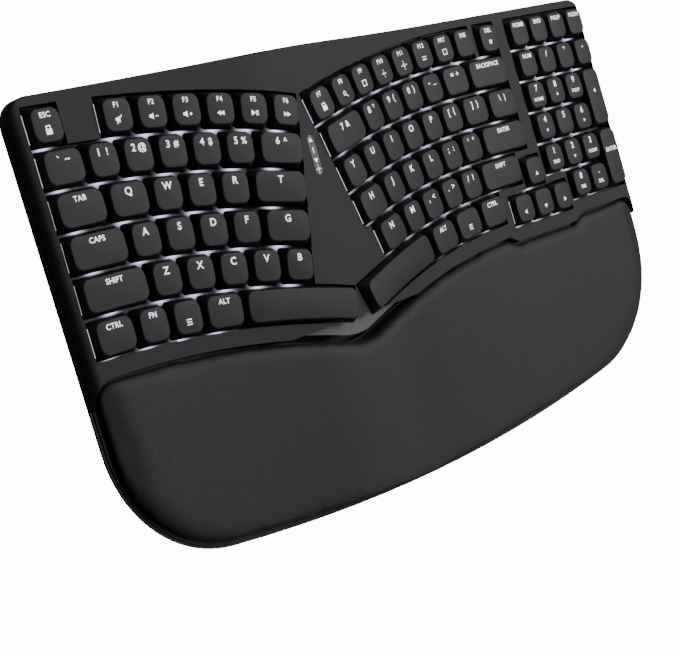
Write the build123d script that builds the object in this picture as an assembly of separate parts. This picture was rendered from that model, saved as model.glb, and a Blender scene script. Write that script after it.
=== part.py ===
from build123d import *
import os
from collections import namedtuple
from math import asin, atan, atan2, cos, degrees, pi, sin, sqrt

os.makedirs("parts", exist_ok=True)

# Ergonomic split keyboard, millimetres. X runs to the right, Y to the rear and Z up from the desk.
# The origin is on the desk, below the middle of the case.

# Key field. Its places are measured from its left edge and from the middle of its front row.
key_pitch = 19.0
row_count = 6
row_radius = 493.0  # arc that the front row follows; the rows behind are concentric with it
left_straight = 3.8  # straight start of each left row, at its outer end
right_straight = 25.7  # straight start of each right row, at its outer end
space_bar_gap = 6.57  # between the two space bars, in the middle of the front row
numpad_gap = 10.3
numpad_columns = 4
arrow_tuck = 30.4  # how far the arrow keys reach in front of the right half
arrow_drop = 4.1  # the arrow keys sit this much nearer the front than the front row
arrow_columns = 3

# Widths of the keys of each row as shares of the pitch, from the outer end inwards.
# A negative share is a gap that holds no key.
left_row_shares = {
    "left_function": (5, 0.0, (1, -1, 1, 1, 1, 1, 1, 1)),
    "left_number": (4, 0.0, (1.25, 1, 1, 1, 1, 1, 1.5)),
    "left_upper": (3, 0.0, (1.5, 1.25, 1, 1, 1, 1.75)),
    "left_home": (2, 0.0, (1.75, 1, 1, 1, 1, 1.5)),
    "left_lower": (1, 0.0, (2, 1, 1, 1, 1, 1)),
    "left_modifier": (0, 0.0, (1.25, 1, 1, 1.25)),
    "left_space": (0, 4.5, (3.6,)),
}
right_row_shares = {
    "right_function": (5, 0.0, (1, -0.22, 1, 1, 1, 1, 1, 1, 1, 1)),
    "right_number": (4, 0.0, (1.95, 1.25, 1, 1, 1, 1, 1.75)),
    "right_upper": (3, 0.0, (1.45, 1.25, 1, 1, 1, 1, 1, 1)),
    "right_home": (2, 0.0, (2.2, 1, 1, 1, 1, 1, 1.25)),
    "right_lower": (1, 0.7, (2, 1, 1, 1, 1, 1.25)),
    "right_modifier": (0, 1.95, (1.25, 1.25, 1.25)),
    "right_space": (0, 5.7, (3.5,)),
}
# Straight keys as column, row, width and depth, all shares of the pitch
numpad_shares = {
    "navigation": ((0, 5, 1, 1), (1, 5, 1, 1), (2, 5, 1, 1), (3, 5, 1, 1)),
    "numpad_operator": ((0, 4, 1, 1), (1, 4, 1, 1), (2, 4, 1, 1), (3, 4, 1, 1)),
    "numpad_digit": (
        (0, 3, 1, 1), (1, 3, 1, 1), (2, 3, 1, 1), (0, 2, 1, 1), (1, 2, 1, 1), (2, 2, 1, 1),
        (0, 1, 1, 1), (1, 1, 1, 1), (2, 1, 1, 1), (1, 0, 1, 1), (2, 0, 1, 1),
    ),
    "numpad_plus": ((3, 2.5, 1, 2),),
    "numpad_enter": ((3, 0.5, 1, 2),),
}
arrow_shares = {"arrow": ((1, 1, 1, 1), (0, 0, 1, 1), (1, 0, 1, 1), (2, 0, 1, 1))}

# Raised ridge between the two hands. Everything from the boards up to the keys follows it.
ridge_height = 8.5
ridge_crown_run = 33.8
ridge_run = 130.2

# Case in plan
left_margin = 7.2
right_margin = 4.4
rear_margin = 5.0
case_depth = 230.0
rear_corner_radius = 12.0
left_corner_radius = 62.0
right_corner_radius = 78.0
front_arc_radius = 1110.0
strip_width = 8.0  # bar between the front row and the wrist pad
seam_round_radius = 40.0

# Heights above the desk, away from the ridge
key_top = 19.0
bezel_drop = 3.0
plate_drop = 9.6
plate_thickness = 1.2
board_drop = 11.8
board_thickness = 1.2
parting_height = 9.8
band_height = 1.4
underside_height = 1.5
floor_thickness = 2.0
underside_inset = 6.9

# Shells
bottom_wall = 2.6
cavity_foot_inset = 7.4
top_wall = 2.0
top_roof = 2.2
shoulder_run = 5.6
shoulder_drop = 4.6
bezel_edge_radius = 1.0
well_clearance = 0.3
well_wall = 1.4
land_clearance = 0.3
plate_edge_inset = 6.0
plate_seam_gap = 3.0

# Keycaps
cap_gap = 1.1
cap_height = 5.6
cap_lean = 1.45
cap_skirt_corner = 1.8
cap_top_corner = 4.2
cap_wall = 1.2
cap_roof = 1.5
cap_inner_corner = 1.0
cap_inner_top_corner = 2.6
key_travel = 3.0
prong_width = 1.2
prong_length = 3.0
prong_reach = 3.2
prong_offset = 2.85

# Switches
stem_width = 10.2
stem_depth = 4.4
stem_foot = 8.2  # depth of the stem's foot below the top of the cap
stem_slot_play = 0.1
stem_slot_depth = 3.4
housing_top = 6.3
housing_width = 12.8
housing_corner = 1.5
housing_body_width = 13.4
housing_seat = 9.45
housing_foot = 11.65
flange_width = 14.4
flange_thickness = 0.8
guide_play = 0.35
guide_floor = 0.25
cutout_play = 0.2
led_length = 2.8
led_depth = 1.2
led_height = 0.8
led_offset = 6.0
led_notch_width = 4.0
led_notch_depth = 2.2

# Wrist pad and its base
pad_inset = 1.4
pad_gap = 0.35
pad_corner_radius = 11.0
pad_edge_radius = 4.0
pad_foot_radius = 1.0
pad_shoulder_run = 16.0
pad_shoulder_drop = 2.6
pad_lift = 0.3
pad_base_thickness = 2.0
rim_play = 0.2
rib_thickness = 1.6
rib_share = (-0.36, -0.12, 0.12, 0.36)  # places of the ribs, as shares of the case's width

# Screws and their posts. Places are measured as the key field's are.
post_radius = 3.6
boss_radius = 3.2
screw_radius = 1.25
screw_hole_play = 0.2
thread_play = 0.05
screw_head_radius = 2.3
screw_head_height = 1.6
head_play = 0.3
head_seat_drop = 2.3  # from the underside of the boards down to the head's seat
case_screw_length = 10.0
pad_screw_length = 6.0
patch_screw_drop = 4.0  # in front of the middle of the rear row
panel_screw_offsets = ((-1.9, 24.0), (-1.0, 5.0))  # from the ridge and from the front row
gap_screw_shares = (4.5, 2.0)  # rows of the screws left of the number block, as shares of the pitch
pad_screw_share = (0.25, 0.08)  # places of the pad's screws, as shares of the case's width
pad_screw_rear_offset = 40.0  # from the front edge of the case
post_gap = 0.05

# Battery, ribbon, charging socket and power switch
battery_width = 48.0
battery_length = 92.0
battery_height = 5.0
battery_radius = 1.5
battery_ridge_gap = 10.0
battery_place = 42.0
ribbon_width = 22.0
ribbon_length = 14.0
ribbon_thickness = 0.3
ribbon_place = 70.0
board_split_gap = 1.0
socket_width = 8.94
socket_height = 3.2
socket_length = 7.35
socket_wall = 0.3
socket_recess = 3.6
socket_place = 21.5
socket_tongue_width = 6.7
socket_tongue_height = 0.7
socket_tongue_setback = 0.8
socket_hole_play = 0.3
socket_corner = 1.5
plug_pocket_width = 12.4
plug_pocket_foot = 3.4
plug_pocket_depth = 2.3
surround_width = 14.8
surround_depth = 3.0
surround_gap = 0.2
switch_body_width = 7.4
switch_body_depth = 4.6
switch_body_height = 2.4
switch_body_wall = 0.5
switch_place = 33.0
switch_knob_width = 2.2
switch_travel = 2.0
switch_play = 0.25
switch_recess = 0.4
switch_clearance = 0.6
switch_slot_floor = 7.6
switch_foot_depth = 2.0

# Indicator window on the raised panel
window_offset = -1.5  # from the ridge
window_reach = 54.3
window_length = 20.2
window_width = 4.4
window_depth = 1.2
window_ledge = 0.8
window_play = 0.1

# Feet
foot_length = 34.0
foot_width = 9.0
foot_recess = 0.6
foot_play = 0.15
rear_foot_inset = (56.7, 22.5)  # from the side and the rear of the case
front_foot_inset = (122.7, 20.5)
middle_foot_inset = 94.5
leg_width = 36.0
leg_length = 24.0
leg_thickness = 2.6
leg_side_inset = 48.7
leg_front_inset = 34.5
leg_pin_radius = 1.2
leg_pin_reach = 1.6
leg_play = 0.4
leg_pin_play = 0.15
leg_pocket_wall = 1.6
leg_notch_width = 12.0
leg_notch_depth = 6.0

overrun = 20.0



# How far a row reaches from its outer end to the last edge of its innermost key
def row_reach(row_and_start, straight):
    row, start, widths = row_and_start
    radius = row_radius + row * key_pitch
    turn = ((start + sum(widths)) * key_pitch - straight) / radius
    return straight + radius * sin(turn)


left_reach = row_reach(left_row_shares["left_space"], left_straight)
right_reach = row_reach(right_row_shares["right_space"], right_straight)
typing_block_width = left_reach + space_bar_gap + right_reach
ridge_place = left_reach + space_bar_gap / 2
arrow_left = typing_block_width - arrow_tuck
numpad_left = typing_block_width + numpad_gap
field_width = numpad_left + numpad_columns * key_pitch
case_width = left_margin + field_width + right_margin
half_width = case_width / 2
half_depth = case_depth / 2
field_left = left_margin - half_width
field_front = half_depth - rear_margin - (row_count - 1 / 2) * key_pitch
ridge_x = field_left + ridge_place
bezel_height = key_top - bezel_drop
plate_height = key_top - plate_drop
board_height = key_top - board_drop
board_underside = board_height - board_thickness
band_foot = parting_height - band_height
floor_top = underside_height + floor_thickness
pad_bottom = band_foot + pad_base_thickness
end_level = field_front - key_pitch / 2 - strip_width  # seam in front of the straight keys
arrow_level = end_level - arrow_drop
ridge_angle = 2 * atan(ridge_height / ridge_run)
crown_radius = ridge_crown_run / sin(ridge_angle)
flank_radius = (ridge_run - ridge_crown_run) / sin(ridge_angle)

Key = namedtuple("Key", "x y heading width depth bend")


# Crown of the ridge: a convex arc over the middle and a concave one down each flank
def crown(x):
    away = abs(x - ridge_x)
    if away < ridge_crown_run:
        return ridge_height - crown_radius + sqrt(crown_radius**2 - away**2)
    if away < ridge_run:
        return flank_radius - sqrt(flank_radius**2 - (ridge_run - away) ** 2)
    return 0.0


def crown_slope(x):
    away = abs(x - ridge_x)
    angle = 0.0
    if away < ridge_crown_run:
        angle = asin(away / crown_radius)
    elif away < ridge_run:
        angle = asin((ridge_run - away) / flank_radius)
    return angle if x < ridge_x else -angle


def crown_arc(start, end, level):
    places = (start, (start + end) / 2, end)
    return ThreePointArc(*[(x, level + crown(x)) for x in places])


# Everything below the crown at a level, with sides that can roll down by a run and a drop
def under_crown(level, run=0.0, drop=0.0):
    reach = half_width if run else half_width + overrun
    foot = -overrun
    left_flank, left_crown = ridge_x - ridge_run, ridge_x - ridge_crown_run
    right_crown, right_flank = ridge_x + ridge_crown_run, ridge_x + ridge_run
    edges = [
        Line((run - reach, level), (left_flank, level)),
        crown_arc(left_flank, left_crown, level),
        crown_arc(left_crown, right_crown, level),
        crown_arc(right_crown, right_flank, level),
        Line((right_flank, level), (reach - run, level)),
    ]
    if run:
        turn = 2 * atan(drop / run)
        radius = run / sin(turn)
        middle_in = radius * sin(turn / 2)
        middle_down = radius * (1 - cos(turn / 2))
        for side in (-1, 1):
            end = side * reach
            shoulder = side * (reach - run)
            edges.append(
                ThreePointArc(
                    (end, level - drop), (shoulder + side * middle_in, level - middle_down), (shoulder, level)
                )
            )
    edges += [
        Line((-reach, level - drop), (-reach, foot)),
        Line((-reach, foot), (reach, foot)),
        Line((reach, foot), (reach, level - drop)),
    ]
    face = Plane.XZ * make_face(Curve() + edges)
    return extrude(face, amount=half_depth + overrun, both=True)


# Places on the key field, in the keyboard's own frame
def field(place):
    return (field_left + place[0], field_front + place[1])


def around(centre, radius, angle):
    return (centre[0] + radius * cos(angle), centre[1] + radius * sin(angle))


def arc_about(centre, radius, start, end):
    return ThreePointArc(*[around(centre, radius, a) for a in (start, (start + end) / 2, end)])


# Centre of a round front corner, and the turn at which it meets the bowed front edge
def front_corner(radius):
    x = half_width - radius
    bow_y = front_arc_radius - half_depth
    y = bow_y - sqrt((front_arc_radius - radius) ** 2 - x**2)
    return x, y, atan2(y - bow_y, x)


# Plan of the case, drawn in by an inset: straight sides, rounded rear corners and a bowed front
def outline(inset=0.0):
    side, rear = half_width - inset, half_depth - inset
    rear_radius = rear_corner_radius - inset
    rear_x, rear_y = half_width - rear_corner_radius, half_depth - rear_corner_radius
    bow_centre = (0.0, front_arc_radius - half_depth)
    left_x, left_y, left_turn = front_corner(left_corner_radius)
    right_x, right_y, right_turn = front_corner(right_corner_radius)
    edges = [
        Line((-rear_x, rear), (rear_x, rear)),
        arc_about((rear_x, rear_y), rear_radius, pi / 2, 0),
        Line((side, rear_y), (side, right_y)),
        arc_about((right_x, right_y), right_corner_radius - inset, 0, right_turn),
        arc_about(bow_centre, front_arc_radius - inset, right_turn, -pi - left_turn),
        arc_about((-left_x, left_y), left_corner_radius - inset, -pi - left_turn, -pi),
        Line((-side, left_y), (-side, rear_y)),
        arc_about((-rear_x, rear_y), rear_radius, pi, pi / 2),
    ]
    return make_face(Curve() + edges)


# Everything in front of the seam between the top case and the wrist pad
def front_region(grow=0.0):
    far = half_width + overrun
    left_top, right_top = field((left_straight, 0)), field((typing_block_width - right_straight, 0))
    left_centre = (left_top[0], left_top[1] - row_radius)
    right_centre = (right_top[0], right_top[1] - row_radius)
    radius = row_radius - key_pitch / 2 - strip_width
    reach = radius + seam_round_radius
    middle_x = (left_top[0] + right_top[0]) / 2
    middle = (middle_x, left_centre[1] + sqrt(reach**2 - (middle_x - left_top[0]) ** 2))
    left_turn = atan2(middle[1] - left_centre[1], middle[0] - left_centre[0])
    right_turn = pi - left_turn
    arrow_start, arrow_end = field_left + arrow_left, field_left + arrow_left + arrow_columns * key_pitch
    step_turn = pi / 2 + asin((right_top[0] - arrow_start + strip_width) / (radius + grow))
    step_top = around(right_centre, radius + grow, step_turn)
    edges = [
        Line((-far, end_level + grow), (left_top[0], end_level + grow)),
        arc_about(left_centre, radius + grow, pi / 2, left_turn),
        arc_about(middle, seam_round_radius - grow, left_turn - pi, -left_turn),
        arc_about(right_centre, radius + grow, right_turn, step_turn),
        Line(step_top, (arrow_start, arrow_level + grow)),
        Line((arrow_start, arrow_level + grow), (arrow_end, arrow_level + grow)),
        Line((arrow_end, arrow_level + grow), (arrow_end + strip_width, end_level + grow)),
        Line((arrow_end + strip_width, end_level + grow), (far, end_level + grow)),
        Line((far, end_level + grow), (far, -far)),
        Line((far, -far), (-far, -far)),
        Line((-far, -far), (-far, end_level + grow)),
    ]
    return make_face(Curve() + edges)


# Plan of the wrist pad, grown by a gap where something has to clear it
def pad_plan(grow=0.0):
    width = case_width - 2 * (pad_inset - grow)
    block = RectangleRounded(width, 2 * case_depth, pad_corner_radius + grow)
    block = Pos(0, end_level + grow - case_depth) * block
    return outline(pad_inset - grow) & front_region(grow) & block


# Keys
def row_keys(rows, side):
    keys = {}
    outer = field_left if side > 0 else field_left + typing_block_width
    straight = left_straight if side > 0 else right_straight
    for bank, (row, start, widths) in rows.items():
        run = start * key_pitch
        radius = row_radius + row * key_pitch
        keys[bank] = []
        for share in widths:
            width = abs(share) * key_pitch
            middle = run + width / 2
            run += width
            turn = max(middle - straight, 0) / radius
            x = min(middle, straight) + radius * sin(turn)
            y = field_front - row_radius + radius * cos(turn)
            bend = radius if bank.endswith("space") else 0.0
            if share > 0:
                heading = -side * degrees(turn)
                keys[bank].append(Key(outer + side * x, y, heading, width, key_pitch, bend))
    return keys


def grid_keys(banks, left, front):
    keys = {}
    for bank, places in banks.items():
        keys[bank] = []
        for column, row, width, depth in places:
            x = left + (column + 1 / 2) * key_pitch
            y = front + row * key_pitch
            keys[bank].append(Key(x, y, 0.0, width * key_pitch, depth * key_pitch, 0.0))
    return keys


def all_keys():
    banks = row_keys(left_row_shares, 1)
    banks.update(row_keys(right_row_shares, -1))
    banks.update(grid_keys(arrow_shares, field_left + arrow_left, field_front - arrow_drop))
    banks.update(grid_keys(numpad_shares, field_left + numpad_left, field_front))
    return banks


# A key's own frame: its origin is in the middle of the top of the cap, and Z is square to the cap
def key_frame(key):
    base = Pos(key.x, key.y, bezel_height + crown(key.x))
    return base * Rot(0, -degrees(crown_slope(key.x)), 0) * Rot(0, 0, key.heading) * Pos(0, 0, bezel_drop)


# Plan of a key: a rounded rectangle, or a bar that bends with its row
def key_plan(width, depth, corner, bend):
    if not bend:
        return RectangleRounded(width, depth, corner)
    centre = (0.0, -bend)
    swing = width / 2 / bend
    outer, inner = bend + depth / 2, bend - depth / 2
    left, right = pi / 2 + swing, pi / 2 - swing
    edges = [
        arc_about(centre, outer, left, right),
        Line(around(centre, outer, right), around(centre, inner, right)),
        arc_about(centre, inner, right, left),
        Line(around(centre, inner, left), around(centre, outer, left)),
    ]
    face = make_face(Curve() + edges)
    return fillet(face.vertices(), corner)


def key_loft(key, low, high):
    faces = []
    for drop, inset, corner in (low, high):
        plan = key_plan(key.width - cap_gap - 2 * inset, key.depth - cap_gap - 2 * inset, corner, key.bend)
        faces.append(Pos(0, 0, -drop) * plan)
    return loft(faces, ruled=True)


# Keycap: a hollow cap with leaning sides and two prongs that plug into the stem
def keycap(key):
    outer = key_loft(key, (cap_height, 0.0, cap_skirt_corner), (0.0, cap_lean, cap_top_corner))
    ceiling_inset = cap_wall + cap_lean * (1 - cap_roof / cap_height)
    inner = key_loft(
        key, (cap_height, cap_wall, cap_inner_corner), (cap_roof, ceiling_inset, cap_inner_top_corner)
    )
    prong = Box(prong_width, prong_length, prong_reach, align=(Align.CENTER, Align.CENTER, Align.MAX))
    prongs = [Pos(side * prong_offset, 0, -cap_roof) * prong for side in (-1, 1)]
    return (outer - inner) + prongs


# Stem: the slider that carries the cap and runs in the housing
def stem(key):
    height = stem_foot - cap_roof
    block = Box(stem_width, stem_depth, height, align=(Align.CENTER, Align.CENTER, Align.MAX))
    slot = Box(
        prong_width + stem_slot_play, prong_length + stem_slot_play, stem_slot_depth,
        align=(Align.CENTER, Align.CENTER, Align.MAX),
    )
    block -= [Pos(side * prong_offset, 0, 0) * slot for side in (-1, 1)]
    return Pos(0, 0, -cap_roof) * block


# Switch housing: an upper body over a flange, and a lower body that reaches the board
def switch_housing(key):
    down = (Align.CENTER, Align.CENTER, Align.MAX)
    upper = extrude(
        Pos(0, 0, -housing_seat) * RectangleRounded(housing_width, housing_width, housing_corner),
        housing_seat - housing_top,
    )
    flange = Pos(0, 0, flange_thickness - housing_seat) * Box(
        flange_width, flange_width, flange_thickness, align=down
    )
    lower = Pos(0, 0, -housing_seat) * Box(
        housing_body_width, housing_body_width, housing_foot - housing_seat, align=down
    )
    guide = Pos(0, 0, -housing_top) * Box(
        stem_width + 2 * guide_play, stem_depth + 2 * guide_play,
        housing_foot - guide_floor - housing_top, align=down,
    )
    notch = Pos(0, -led_offset + led_notch_depth / 2, 0) * Box(
        led_notch_width, flange_width, 2 * housing_foot, align=(Align.CENTER, Align.MAX, Align.CENTER)
    )
    return upper + flange + lower - guide - notch


def backlight(key):
    return Pos(0, -led_offset, -housing_foot) * Box(
        led_length, led_depth, led_height, align=(Align.CENTER, Align.CENTER, Align.MIN)
    )


def in_banks(make, keys):
    made = {}
    solids = []
    for key in keys:
        size = (key.width, key.depth, key.bend)
        if size not in made:
            made[size] = make(key)
        solids.append(key_frame(key) * made[size])
    return solids


# Plan of the wells, or of the lands that carry their walls, one cell for each key
def cells(keys, extra):
    faces = []
    for key in keys:
        width, depth = key.width + 2 * extra, key.depth + 2 * extra
        plan = key_plan(width, depth, well_clearance, key.bend)
        faces.append(Pos(key.x, key.y, 0) * Rot(0, 0, key.heading) * plan)
    return Sketch() + faces


def tall(plan, low=0.0):
    return extrude(Pos(0, 0, low) * plan, key_top + ridge_height + overrun - low)


def screw_places():
    places = [(key_pitch * 3 / 2, (row_count - 1) * key_pitch - patch_screw_drop)]
    places += [(ridge_place + across, along) for across, along in panel_screw_offsets]
    places += [(typing_block_width + numpad_gap / 2, share * key_pitch) for share in gap_screw_shares]
    return [field(place) for place in places]


def pad_screw_places():
    return [
        (side * share * case_width, pad_screw_rear_offset - half_depth)
        for side in (-1, 1)
        for share in pad_screw_share
    ]


def post(place, radius):
    return Pos(*place) * Circle(radius)


# Height of a screw head's seat: below the boards by a set drop, so all case screws are alike
def seat_height(place):
    return board_underside + crown(place[0]) - head_seat_drop


def screw(place, seat, length):
    head = extrude(Pos(0, 0, seat - screw_head_height) * post(place, screw_head_radius), screw_head_height)
    shank = extrude(Pos(0, 0, seat) * post(place, screw_radius), length)
    return head + shank


def case_screws():
    return [screw(place, seat_height(place), case_screw_length) for place in screw_places()]


def pad_screws():
    seat = board_underside - head_seat_drop
    return [screw(place, seat, pad_screw_length) for place in pad_screw_places()]


# Top case: a shell over the keys, with a well for each block of keys and walls round each well
def top_case(keys):
    plan = outline() - pad_plan(pad_gap)
    keep = Pos(0, end_level - pad_corner_radius) * Rectangle(
        case_width + overrun, case_depth, align=(Align.CENTER, Align.MIN)
    )
    shell = tall(plan & keep, parting_height) & under_crown(bezel_height, shoulder_run, shoulder_drop)
    rear_rim = [
        edge
        for edge in shell.edges()
        if edge.center().Y > half_depth - rear_corner_radius
        and edge.center().Z > bezel_height - bezel_edge_radius
    ]
    shell = fillet(rear_rim, bezel_edge_radius)
    inner = (outline(top_wall) - pad_plan(pad_gap + top_wall)) & keep
    lands = cells(keys, well_clearance + well_wall)
    shell -= tall(inner) & under_crown(plate_height + land_clearance)
    shell -= tall(inner - lands) & under_crown(bezel_height - top_roof, shoulder_run, shoulder_drop)
    for place in screw_places():
        boss = tall(post(place, boss_radius)) & under_crown(bezel_height - top_roof / 2)
        shell += boss - under_crown(plate_height)
    shell -= tall(cells(keys, well_clearance))
    for place in screw_places():
        top = seat_height(place) + case_screw_length + post_gap
        shell -= extrude(post(place, screw_radius + thread_play), top)
    shell -= tall(window_plan(window_play), bezel_height + crown(window_place()[0]) - window_depth)
    return shell - tall(window_plan(-window_ledge))


def window_place():
    return field((ridge_place + window_offset, window_reach))


def window_plan(grow):
    length, width = window_length + 2 * grow, window_width + 2 * grow
    return Pos(*window_place()) * Rot(0, 0, 90) * SlotOverall(length, width)


def indicator_window():
    top = bezel_height + crown(window_place()[0])
    return extrude(Pos(0, 0, top - window_depth) * window_plan(0.0), window_depth)


# Wrist pad: a crowned cushion with rolled sides, on a flat base that drops into the case's rim
def wrist_pad():
    body = extrude(Pos(0, 0, pad_bottom + pad_lift) * pad_plan(), overrun)
    body &= under_crown(bezel_height, pad_shoulder_run, pad_shoulder_drop)
    foot = pad_bottom + pad_lift
    rim = [edge for edge in body.edges() if min(v.Z for v in edge.vertices()) > foot + pad_foot_radius]
    body = fillet(rim, pad_edge_radius)
    return fillet(body.edges().group_by(Axis.Z)[0], pad_foot_radius)


def wrist_pad_base():
    base = extrude(Pos(0, 0, band_foot) * pad_plan(), pad_base_thickness)
    seat = board_underside - head_seat_drop
    for place in pad_screw_places():
        base += extrude(Pos(0, 0, board_underside) * post(place, boss_radius), band_foot - board_underside)
    for place in pad_screw_places():
        base -= extrude(post(place, screw_radius + thread_play), seat + pad_screw_length + post_gap)
    return base


# Metal plate that the switches clip into, and the two boards below it
def layer_plan():
    return outline(plate_edge_inset) - pad_plan(plate_seam_gap)


def layer(level, thickness):
    slab = tall(layer_plan()) & under_crown(level)
    slab -= under_crown(level - thickness)
    for place in screw_places():
        slab -= tall(post(place, screw_radius + screw_hole_play))
    return slab


def switch_plate(keys):
    width = housing_body_width + 2 * cutout_play
    cutter = Pos(0, 0, -plate_drop) * Box(width, width, 2 * plate_drop - 2 * bezel_drop)
    notch = Pos(field_left + switch_place, switch_rear() - switch_body_depth - switch_clearance, 0) * Box(
        switch_body_width + 2 * switch_clearance, overrun, 2 * key_top,
        align=(Align.CENTER, Align.MIN, Align.CENTER),
    )
    plate = layer(plate_height, plate_thickness) - notch
    return plate - [key_frame(key) * cutter for key in keys]


def circuit_boards():
    boards = layer(board_height, board_thickness)
    cut_width = socket_width + 2 * socket_hole_play
    mouth = half_depth - socket_recess - socket_length - socket_hole_play
    boards -= Pos(field_left + socket_place, mouth, 0) * Box(
        cut_width, overrun, 2 * key_top, align=(Align.CENTER, Align.MIN, Align.CENTER)
    )
    reach = case_width + case_depth
    halves = []
    for side in (-1, 1):
        keep = Pos(ridge_x + side * (board_split_gap + reach) / 2, 0, 0) * Box(reach, reach, reach)
        halves.append(boards & keep)
    return halves


def board_ribbon():
    strip = Pos(ridge_x, field_front + ribbon_place) * Rectangle(ribbon_width, ribbon_length)
    slab = tall(strip) & under_crown(board_underside)
    return slab - under_crown(board_underside - ribbon_thickness)


# Bottom case: a tray with a narrow upright band, a slanted flank, posts, ribs and pockets
def bottom_case():
    low = Pos(0, 0, underside_height) * outline(underside_inset)
    body = loft([low, Pos(0, 0, band_foot) * outline()], ruled=True)
    body += extrude(Pos(0, 0, band_foot) * outline(), band_height)
    cavity = loft(
        [Pos(0, 0, floor_top) * outline(cavity_foot_inset), Pos(0, 0, band_foot) * outline(bottom_wall)],
        ruled=True,
    )
    body -= cavity
    body -= tall(outline(bottom_wall), band_foot)
    body -= tall(pad_plan(rim_play), band_foot)
    for share in rib_share:
        rib = Pos(share * case_width, 0) * Rectangle(rib_thickness, 2 * case_depth)
        body += extrude(Pos(0, 0, floor_top) * (rib & pad_plan(-cavity_foot_inset)), band_foot - floor_top)
    for place in screw_places():
        pillar = tall(post(place, post_radius), underside_height)
        body += pillar & under_crown(board_underside - post_gap)
    for place in pad_screw_places():
        body += extrude(Pos(0, 0, underside_height) * post(place, post_radius),
                        board_underside - post_gap - underside_height)
    body += [pocket_block(place) for place in leg_places()]
    pad_seat = board_underside - head_seat_drop
    drilled = [(place, seat_height(place)) for place in screw_places()]
    drilled += [(place, pad_seat) for place in pad_screw_places()]
    for place, seat in drilled:
        body -= extrude(post(place, screw_head_radius + head_play), seat)
        body -= tall(post(place, screw_radius + screw_hole_play))
    body -= [pocket(place) for place in leg_places()]
    body -= [extrude(plan, underside_height + foot_recess) for plan in foot_plans(foot_play)]
    body += socket_surround()
    body -= plug_pocket()
    body -= socket_hole()
    knob_slot = Pos(field_left + switch_place, half_depth, switch_slot_floor) * Box(
        switch_knob_width + switch_travel + 2 * switch_play, overrun, overrun,
        align=(Align.CENTER, Align.CENTER, Align.MIN),
    )
    return body - knob_slot


# Charging socket, let into the rear edge of the left board
def socket_height_middle():
    return board_height - board_thickness / 2


def socket_hole():
    plan = RectangleRounded(
        socket_width + 2 * socket_hole_play, socket_height + 2 * socket_hole_play, socket_corner + socket_hole_play
    )
    place = Pos(field_left + socket_place, half_depth - socket_recess - socket_length, socket_height_middle())
    return extrude(place * Rot(-90, 0, 0) * plan, overrun)


# Thicker wall round the socket, behind the pocket that takes the body of a plug
def socket_surround():
    place = Pos(field_left + socket_place, half_depth - plug_pocket_depth, floor_top)
    height = parting_height - surround_gap - floor_top
    return place * Box(surround_width, surround_depth, height, align=(Align.CENTER, Align.MAX, Align.MIN))


def plug_pocket():
    place = Pos(field_left + socket_place, half_depth - plug_pocket_depth, plug_pocket_foot)
    return place * Box(
        plug_pocket_width, overrun, parting_height - plug_pocket_foot,
        align=(Align.CENTER, Align.MIN, Align.MIN),
    )


def usb_socket():
    outer = RectangleRounded(socket_width, socket_height, socket_corner)
    inner = RectangleRounded(
        socket_width - 2 * socket_wall, socket_height - 2 * socket_wall, socket_corner - socket_wall
    )
    shell = extrude(outer, socket_length) - extrude(Pos(0, 0, socket_wall) * inner, socket_length)
    tongue = Box(
        socket_tongue_width, socket_tongue_height, socket_length - socket_tongue_setback,
        align=(Align.CENTER, Align.CENTER, Align.MIN),
    )
    place = Pos(field_left + socket_place, half_depth - socket_recess - socket_length, socket_height_middle())
    return place * Rot(-90, 0, 0) * (shell + tongue)


# Power switch: a small frame on the left board, and the slider that runs in it
def switch_seat():
    return board_height + crown(field_left + switch_place + switch_body_width / 2)


def switch_rear():
    return half_depth - bottom_wall - switch_recess - top_wall


def power_switch_frame():
    down = (Align.CENTER, Align.MAX, Align.MIN)
    place = Pos(field_left + switch_place, switch_rear(), switch_seat())
    frame = Box(switch_body_width, switch_body_depth, switch_body_height, align=down)
    slot = Pos(0, 0, switch_body_wall) * Box(
        switch_knob_width + switch_travel + 2 * switch_play, switch_body_depth - switch_body_wall,
        switch_body_height - 2 * switch_body_wall, align=down,
    )
    return place * (frame - slot)


def power_switch_slider():
    height = switch_body_height - 2 * switch_body_wall - switch_play
    reach = half_depth - switch_recess - switch_rear() + switch_foot_depth
    place = Pos(
        field_left + switch_place - switch_travel / 2, switch_rear() - switch_foot_depth,
        switch_seat() + switch_body_wall + switch_play / 2,
    )
    return place * Box(switch_knob_width, reach, height, align=(Align.CENTER, Align.MIN, Align.MIN))


def battery():
    place = Pos(ridge_x - battery_ridge_gap - battery_width / 2, field_front + battery_place, floor_top)
    block = Box(battery_width, battery_length, battery_height, align=(Align.CENTER, Align.CENTER, Align.MIN))
    return place * fillet(block.edges().filter_by(Axis.Z), battery_radius)


# Rubber feet and the two legs that fold out of the underside
def foot_plans(grow=0.0):
    places = [
        (side * (half_width - across), end * (half_depth - along))
        for (across, along), end in ((rear_foot_inset, 1), (front_foot_inset, -1))
        for side in (-1, 1)
    ]
    places.append((0, middle_foot_inset - half_depth))
    length, width = foot_length + 2 * grow, foot_width + 2 * grow
    return [Pos(*place) * SlotOverall(length, width) for place in places]


def rubber_feet():
    return [extrude(plan, underside_height + foot_recess) for plan in foot_plans()]


def leg_places():
    across = half_width - leg_side_inset - leg_width / 2
    return [(side * across, leg_front_inset + leg_length - half_depth) for side in (-1, 1)]


# The leg's pin is at its rear end, half the leg's thickness above the mouth of its pocket
def leg_pin_height():
    return underside_height + leg_thickness / 2


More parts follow.
